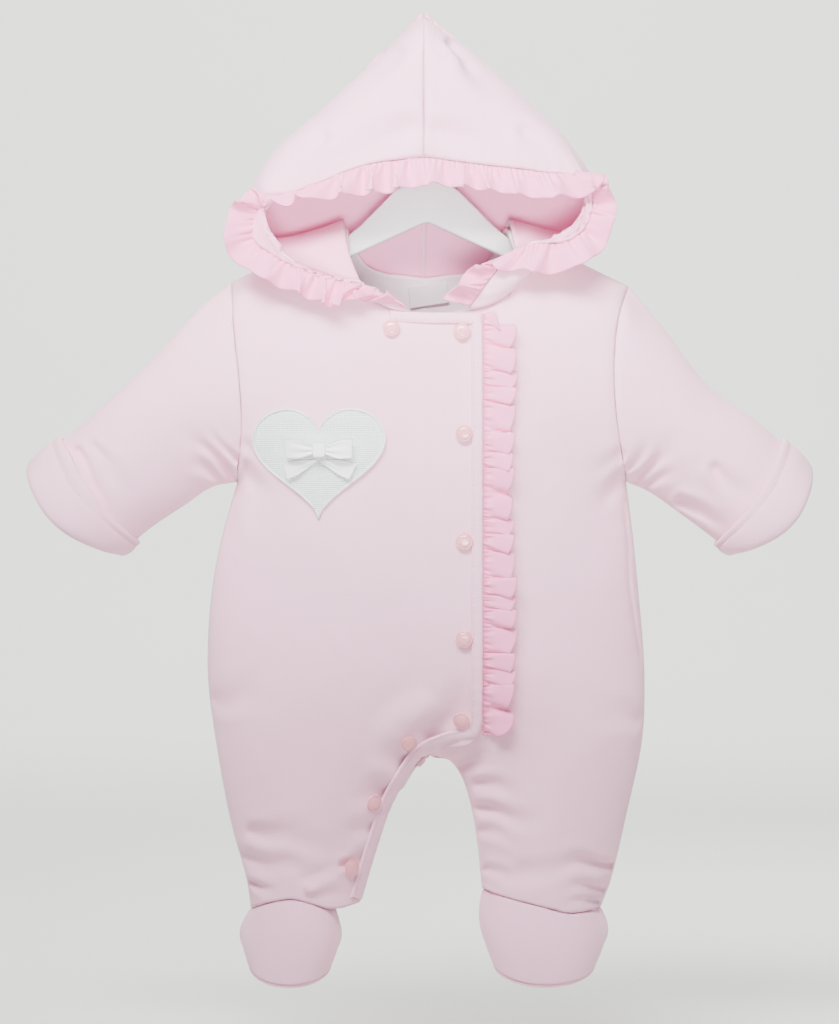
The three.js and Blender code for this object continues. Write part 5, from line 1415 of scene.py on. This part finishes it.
@dataclass
class SnapRow:
    """Nine snaps: a domed pearl cap in a thin rim, on a short stem."""

    wardrobe: Wardrobe
    radius: float = 6.0
    height: float = 4.3
    stem: float = 2.4

    places = [(-23, -202.5), (27, -205), (28.6, -277.2), (28.6, -353.5), (28.6, -422.6), (27, -480),
              (-11.5, -496.4), (-37, -540), (-53, -586.7)]

    def cap(self) -> bpy.types.Object:
        """One snap at the origin, facing +Z."""
        deselect()
        bpy.ops.mesh.primitive_cylinder_add(
            vertices=40, radius=self.stem * MM, depth=2.2 * MM, location=(0, 0, 1.2 * MM))
        piece = bpy.context.active_object
        bpy.ops.object.mode_set(mode="EDIT")
        pick(lambda centre, normal: normal.z > 0.9)
        bpy.ops.mesh.extrude_region_move()
        scale = self.radius / self.stem
        bpy.ops.transform.resize(value=(scale, scale, 1))
        bpy.ops.mesh.extrude_region_move(TRANSFORM_OT_translate={"value": (0, 0, 0.8 * MM)})
        bpy.ops.mesh.inset(thickness=0.7 * MM, depth=0.45 * MM)
        bpy.ops.mesh.inset(thickness=0.35 * MM, depth=-0.5 * MM)
        for thickness, depth in ((0.5, 0.55), (0.9, 0.35), (1.2, 0.18), (1.2, 0.06)):
            bpy.ops.mesh.inset(thickness=thickness * MM, depth=depth * MM)
        bpy.ops.object.mode_set(mode="OBJECT")
        bevel = piece.modifiers.new("rim", "BEVEL")
        bevel.width, bevel.segments = 0.18 * MM, 2
        bevel.limit_method, bevel.angle_limit = "ANGLE", math.radians(40)
        finish_modifiers(piece)
        bpy.ops.object.shade_smooth_by_angle(angle=math.radians(50))
        return piece

    def build(self) -> None:
        """Places a copy of the cap at each snap."""
        first = self.cap()
        for number, (x, z) in enumerate(self.places, 1):
            at = np.array([float(x)]), np.array([float(z)])
            base, above = FORM.on_flap(*at, 0.25)[0], FORM.on_flap(*at, 1.25)[0]
            turn = Vector((0, 0, 1)).rotation_difference(Vector(above - base)).to_matrix().to_4x4()
            mesh = first.data.copy()
            mesh.transform(Matrix.Translation(Vector(base * MM)) @ turn)
            piece = bpy.data.objects.new(f"snap_{number}_cap", mesh)
            bpy.context.scene.collection.objects.link(piece)
            dress(piece, self.wardrobe.snap, [f"snap_{number}"])
        bpy.data.objects.remove(first)


@dataclass
class HeartPatch:
    """The appliqué heart with its satin-stitched edge."""

    wardrobe: Wardrobe
    x: float = -74.6
    z: float = -298.0
    width: float = 95.0
    height: float = 78.0
    lowest: float = -17.0
    highest: float = 12.0

    def outline(self, t: Array, size: Array | float) -> tuple[Array, Array]:
        """Points of the heart's outline at a share of its size."""
        across = 16 * np.sin(t) ** 3
        tall = 13 * np.cos(t) - 5 * np.cos(2 * t) - 2 * np.cos(3 * t) - np.cos(4 * t)
        middle = (self.lowest + self.highest) / 2
        return (self.x + size * across * self.width / 32,
                self.z + size * (tall - middle) * self.height / (self.highest - self.lowest))

    def build(self) -> None:
        """Makes the heart and its edge."""
        t = np.linspace(0, 2 * np.pi, 180, endpoint=False)
        sizes = np.array([1.0, 0.99, 0.97, 0.94, 0.9, 0.84, 0.76, 0.66, 0.54, 0.4, 0.25, 0.1, 0.0])
        rings = []
        for size in sizes:
            x, z = self.outline(t, size)
            crown = 0.5 + 2.2 * math.sqrt(max(0.0, 1 - size**9))
            tuft = 0.16 * np.sin(x / 1.9) * np.sin(z / 2.3) + 0.2 * np.sin(x / 7 + 1) * np.sin(z / 6)
            rings.append(FORM.on_flap(x, z, crown + tuft * (size < 0.98)))
        grid = np.array(rings)
        piece = cloth_shell("heart_cloth", [ClothGrid(grid, ring=True, flip=True)], 1.4)
        dress(piece, self.wardrobe.velour, ["heart"])
        fine = np.linspace(0, 2 * np.pi, 720, endpoint=False)
        x, z = self.outline(fine, 0.985)
        ridge = 1.7 + 0.13 * np.sin(np.arange(720) * 2 * np.pi / 3)
        edge = tube("heart_edge", FORM.on_flap(x, z, ridge), 1.05, 8, True)
        dress(edge, self.wardrobe.satin_edge)


@dataclass
class RibbonBow:
    """The small satin bow on the heart."""

    wardrobe: Wardrobe
    x: float = -74.5
    z: float = -288.8
    half: float = 24.0
    ribbon: float = 13.0
    thick: float = 0.7
    knot: float = 4.5

    def base(self, x: Array, z: Array) -> Array:
        """How far out the heart's face lies."""
        return HALF_SEAM + FORM.flap(x, z) + SEAM + 2.0 + 1.3

    def loop(self, name: str, sign: float) -> None:
        """A loop that leaves the knot, widens and comes back."""
        t = np.linspace(0, 2 * np.pi, 72)[:, None]
        side = np.linspace(-1, 1, 21)[None]
        reach = self.knot - 0.1 + (self.half - self.knot) * (1 - np.cos(t)) / 2
        share = (reach - self.knot) / (self.half - self.knot)
        wide = 4 + (self.ribbon / 2 - 4) * smooth((reach - self.knot) / 12)
        wide = wide - 1.1 * np.exp(-((share / 0.25) ** 2))
        x = self.x + sign * reach + 0 * side
        z = self.z + side * wide + 1.5 * np.maximum(0, reach - 10) / 20
        z = z + 0.8 * share * side**2 * np.sin(3 * side)
        fold = 0.75 * np.cos(side * 6.5 + 0.8 * sign) * (1 - share) * smooth(share * 5 + 0.3)
        out = 4 + 3 * np.sin(t) * (1 - 0.18 * side * sign) + fold
        grid = np.stack([x, -(self.base(x, z) + out), z], -1)
        piece = cloth_shell(f"{name}_ribbon", [ClothGrid(grid, flip=sign > 0)], self.thick)
        dress(piece, self.wardrobe.ribbon, [name])

    def tail(self, name: str, sign: float) -> None:
        """A tail with a slanted end that hangs out from under the knot."""
        t = np.linspace(0, 1, 30)[:, None]
        side = np.linspace(-1, 1, 13)[None]
        slant = 1 + 0.1 * side
        x = self.x + sign * (1.2 + 23 * t * slant) + side * 0.5
        z = self.z - 7.6 - 7 * t - 1.0 * t**2 + side * (1.8 + (6 - 1.8) * smooth(t * 1.3)) * 0.9
        out = 0.75 * np.sin(4 * t + side) * t + 0.5 * np.cos(side * 5) * (1 - t) + 0.6 * t
        grid = np.stack([x, -(self.base(x, z) - 0.9 + self.thick + out + 0.6), z], -1)
        piece = cloth_shell(f"{name}_ribbon", [ClothGrid(grid, flip=sign < 0)], self.thick)
        dress(piece, self.wardrobe.ribbon, [name])

    def knot_wrap(self) -> None:
        """The ribbon wrapped round the middle."""
        deselect()
        y = -(float(self.base(np.array(self.x), np.array(self.z))) + 4)
        bpy.ops.mesh.primitive_cube_add(size=2 * MM, location=(0, 0, 0))
        piece = bpy.context.active_object
        piece.name = "bow_knot_ribbon"
        bpy.ops.object.mode_set(mode="EDIT")
        bpy.ops.mesh.select_all(action="SELECT")
        centre = (0, 0, 0)
        bpy.ops.transform.resize(value=(self.knot, 3.4, 5.2), center_override=centre)
        bpy.ops.mesh.subdivide(number_cuts=3)
        pick(lambda c, n: abs(n.y) > 0.9 and abs(c.x) < 1.4 * MM * self.knot)
        bpy.ops.mesh.inset(thickness=0.5 * MM, depth=0.35 * MM)
        pick(lambda c, n: n.z > 0.9 or n.z < -0.9)
        bpy.ops.transform.resize(value=(0.84, 0.84, 1), center_override=centre)
        bpy.ops.object.mode_set(mode="OBJECT")
        subdivision = piece.modifiers.new("soft", "SUBSURF")
        subdivision.levels = subdivision.render_levels = 2
        finish_modifiers(piece)
        piece.data.transform(Matrix.Translation(Vector((self.x, y, self.z)) * MM))
        piece.data.shade_smooth()
        dress(piece, self.wardrobe.ribbon, ["bow_knot"])

    def build(self) -> None:
        """Makes the loops, the tails and the knot."""
        for side in Side:
            self.loop(f"bow_loop_{side.value}", side.sign)
            self.tail(f"bow_tail_{side.value}", side.sign)
        self.knot_wrap()


@dataclass
class NeckLabel:
    """The blank label inside the back of the neck."""

    wardrobe: Wardrobe

    def build(self) -> None:
        """Makes the label."""
        t = np.linspace(0, 1, 24)[:, None]
        side = np.linspace(-1, 1, 33)[None]
        x = 2.6 + side * 14.2 + t * 1.6
        z = -167.6 + side * 2.2 - t * 15
        y = FORM.depth(x, z) - WALL - 1.4 - 0.8 * t * (0.6 + 0.4 * np.cos(side * 3)) + 0.15 * np.sin(side * 7)
        piece = cloth_shell("neck_label_cloth", [ClothGrid(np.stack([x, y, z], -1), flip=True)], 0.7)
        dress(piece, self.wardrobe.label, ["neck_label"])


@dataclass
class CoatHanger:
    """The child's hanger: a painted board with a crown between the shoulders, and its wire hook."""

    wardrobe: Wardrobe
    centre: float = 2.0
    thick: float = 12.0
    inset: float = 6.8
    reach: float = 118.0
    end: float = 24.0
    crown_top: float = -93.0
    arch_top: float = -124.0
    wire: float = 1.75
    hook_radius: float = 17.0

    def __post_init__(self) -> None:
        """Lays out the board's upper and lower edges, as distances from its centre and heights."""
        tip, neck = SHOULDER_TIP[Side.RIGHT], SHOULDER_NECK[Side.RIGHT]
        slope = (neck[1] - tip[1]) / (neck[0] - tip[0])
        ridge = neck[1] - self.inset * math.hypot(1, slope) + slope * (self.centre - neck[0])
        low = ridge - slope * self.reach
        self.upper = [(23.0, -101.5), (47.0, -126.0), (56.0, ridge - slope * 56), (self.reach, low)]
        self.lower = [(0.0, self.arch_top), (58.0, -150.5), (self.reach, low - self.end),
                      (124.0, low - self.end)]

    def top(self, away: float) -> float:
        """Height of the upper edge at a distance from the centre."""
        side, edge = self.upper[0]
        if away < side:
            t = away / side / 2 + 0.5
            return edge + 4 * t * (1 - t) * (self.crown_top - edge)
        return float(np.interp(away, *zip(*self.upper))) - max(0.0, away - self.reach) ** 1.5 * 0.6

    def low(self, away: float) -> float:
        """Height of the lower edge at a distance from the centre."""
        return float(np.interp(away, *zip(*self.lower)))

    def board(self) -> None:
        """The board, drawn out from its middle by extrusions to both ends."""
        deselect()
        bpy.ops.mesh.primitive_cube_add(size=1.0, location=(0, 0, 0))
        piece = bpy.context.active_object
        piece.name = "hanger_board"
        bpy.ops.object.mode_set(mode="EDIT")
        bpy.ops.mesh.select_all(action="SELECT")
        tall = self.top(2) - self.low(2)
        bpy.ops.transform.resize(value=(4 * MM, self.thick * MM, tall * MM), center_override=(0, 0, 0))
        middle = (self.top(2) + self.low(2)) / 2
        bpy.ops.transform.translate(value=(self.centre * MM, 0, middle * MM))
        stations = [5, 9, 13, 18, 23, 29, 35, 41, 47, 51, 56, 58, 70, 85, 98, 108, 115, 119.5, 121.5]
        for sign in (-1.0, 1.0):
            before = 2.0
            for away in stations:
                last = abs(before) * MM
                pick(lambda c, n, s=sign, d=last: n.x * s > 0.5 and abs(c.x - self.centre * MM - s * d) < 1e-5)
                old_top, old_low = self.top(before), self.low(before)
                new_top, new_low = self.top(away), self.low(away)
                if away > 117:
                    pinch = (away - 117) * 1.6
                    new_top, new_low = new_top - pinch, new_low + pinch
                if before > 117:
                    pinch = (before - 117) * 1.6
                    old_top, old_low = old_top - pinch, old_low + pinch
                rise = (new_top + new_low - old_top - old_low) / 2
                move = (sign * (away - before) * MM, 0, rise * MM)
                bpy.ops.mesh.extrude_region_move(TRANSFORM_OT_translate={"value": move})
                size = (new_top - new_low) / (old_top - old_low)
                at = ((self.centre + sign * away) * MM, 0, (new_top + new_low) / 2 * MM)
                bpy.ops.transform.resize(value=(1, 1, size), center_override=at)
                before = away
        bpy.ops.object.mode_set(mode="OBJECT")
        bevel = piece.modifiers.new("round", "BEVEL")
        bevel.width, bevel.segments = 3.4 * MM, 4
        bevel.limit_method, bevel.angle_limit = "ANGLE", math.radians(50)
        finish_modifiers(piece)
        bpy.ops.object.shade_smooth_by_angle(angle=math.radians(40))
        dress(piece, self.wardrobe.paint, ["hanger"])

    def hook(self) -> None:
        """The hook: a round wire, bent and drawn down to the board."""
        middle = -self.hook_radius - self.wire
        turn = np.radians(np.arange(215, -91, -15))
        bend = [(self.hook_radius * math.cos(a), middle + self.hook_radius * math.sin(a)) for a in turn]
        low = middle - self.hook_radius
        foot = self.crown_top + SEAM
        rows = [*bend, (self.centre - 1, low - 12), (self.centre, low - 24), (self.centre, foot)]
        piece = tube("hook_bent_wire", Path(rows).even(150), self.wire, 16)
        dress(piece, self.wardrobe.wire, ["hook"])

    def build(self) -> None:
        """Makes the board and the hook."""
        self.board()
        self.hook()


@dataclass
class Studio:
    """Plain pale floor, soft light and the camera."""

    distance: float = 3.2
    middle_x: float = -3.2
    middle_z: float = -332.6
    frame_height: float = 737.0
    floor_z: float = -0.72
    world_colour: tuple[int, int, int] = (226, 230, 232)
    world_strength: float = 0.5

    def sweep(self) -> None:
        """The floor, which turns up softly far behind."""
        bend = np.linspace(0.05, np.pi / 2, 16)
        depth = np.concatenate([np.linspace(-7, 4.5, 24), 4.5 + 2.5 * np.sin(bend)])
        rise = np.concatenate([np.zeros(24), 2.5 * (1 - np.cos(bend))])
        depth, rise = np.append(depth, 7.0), np.append(rise, 6.0)
        x = np.linspace(-9, 9, 19)
        rows = np.stack([np.stack([x, np.full(19, d), np.full(19, self.floor_z + r)], -1)
                         for d, r in zip(depth, rise)])
        faces = grid_faces(len(depth), len(x), False, False).tolist()
        floor = make_mesh("floor", rows.reshape(-1, 3) / MM, faces)
        finish = HardFinish("floor_paper", (236, 240, 233), (234, 238, 231), 0.9, 0.0, 0.0, 3.0, 0.02)
        floor.data.materials.append(finish.material())

    def light(self, name: str, place: tuple[float, float, float], size: tuple[float, float], power: float,
              aim: tuple[float, float, float] = (0.0, 0.0, -0.33), spread: float = 180.0) -> None:
        """A soft light that faces its aim; its spread is in degrees."""
        lamp = bpy.data.lights.new(name, "AREA")
        lamp.shape, lamp.size, lamp.size_y, lamp.energy = "RECTANGLE", *size, power
        lamp.spread = math.radians(spread)
        made = bpy.data.objects.new(name, lamp)
        bpy.context.scene.collection.objects.link(made)
        made.location = place
        made.rotation_euler = (Vector(aim) - Vector(place)).to_track_quat("-Z", "Y").to_euler()
        made.visible_camera = False

    def build(self) -> None:
        """Sets the floor, the lights and the camera."""
        self.sweep()
        self.light("key_light", (-0.25, -0.85, 0.6), (1.2, 0.4), 12.5, (0.0, 0.0, -0.02), 70)
        self.light("fill_light", (1.2, -2.4, 0.3), (1.4, 1.4), 9, (0.0, 0.0, -0.2))
        self.light("hood_light", (0.05, -1.2, -0.42), (0.6, 0.3), 1.7, (0.0, 0.05, -0.05), 40)
        self.light("back_light", (0.7, 1.5, 0.7), (1.0, 1.0), 20)
        self.light("wall_light", (0.0, 4.0, 5.0), (3.0, 3.0), 700, (0.0, 7.0, 1.0))
        world = bpy.data.worlds.new("studio")
        world.use_nodes = True
        sky = world.node_tree.nodes["Background"]
        sky.inputs["Color"].default_value = linear(self.world_colour)
        sky.inputs["Strength"].default_value = self.world_strength
        bpy.context.scene.world = world
        lens = bpy.data.cameras.new("camera")
        lens.sensor_fit = "VERTICAL"
        lens.sensor_height = 36.0
        lens.lens = 36.0 * self.distance / (self.frame_height * MM)
        camera = bpy.data.objects.new("camera", lens)
        bpy.context.scene.collection.objects.link(camera)
        camera.location = (self.middle_x * MM, -self.distance, self.middle_z * MM)
        camera.rotation_euler = (math.pi / 2, 0, 0)
        bpy.context.scene.camera = camera


def main() -> None:
    """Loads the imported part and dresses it."""
    logging.basicConfig(level=logging.INFO, format="%(name)s: %(message)s")
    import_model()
    wardrobe = Wardrobe()
    for part in (PaddedBody(wardrobe), Arms(wardrobe), Feet(wardrobe), Hood(wardrobe), FrontFrill(wardrobe),
                 EdgeBinding(wardrobe), SnapRow(wardrobe), HeartPatch(wardrobe), RibbonBow(wardrobe),
                 NeckLabel(wardrobe), CoatHanger(wardrobe), Studio()):
        part.build()
        log.info("%s is done", type(part).__name__)


if __name__ == "__main__":
    main()
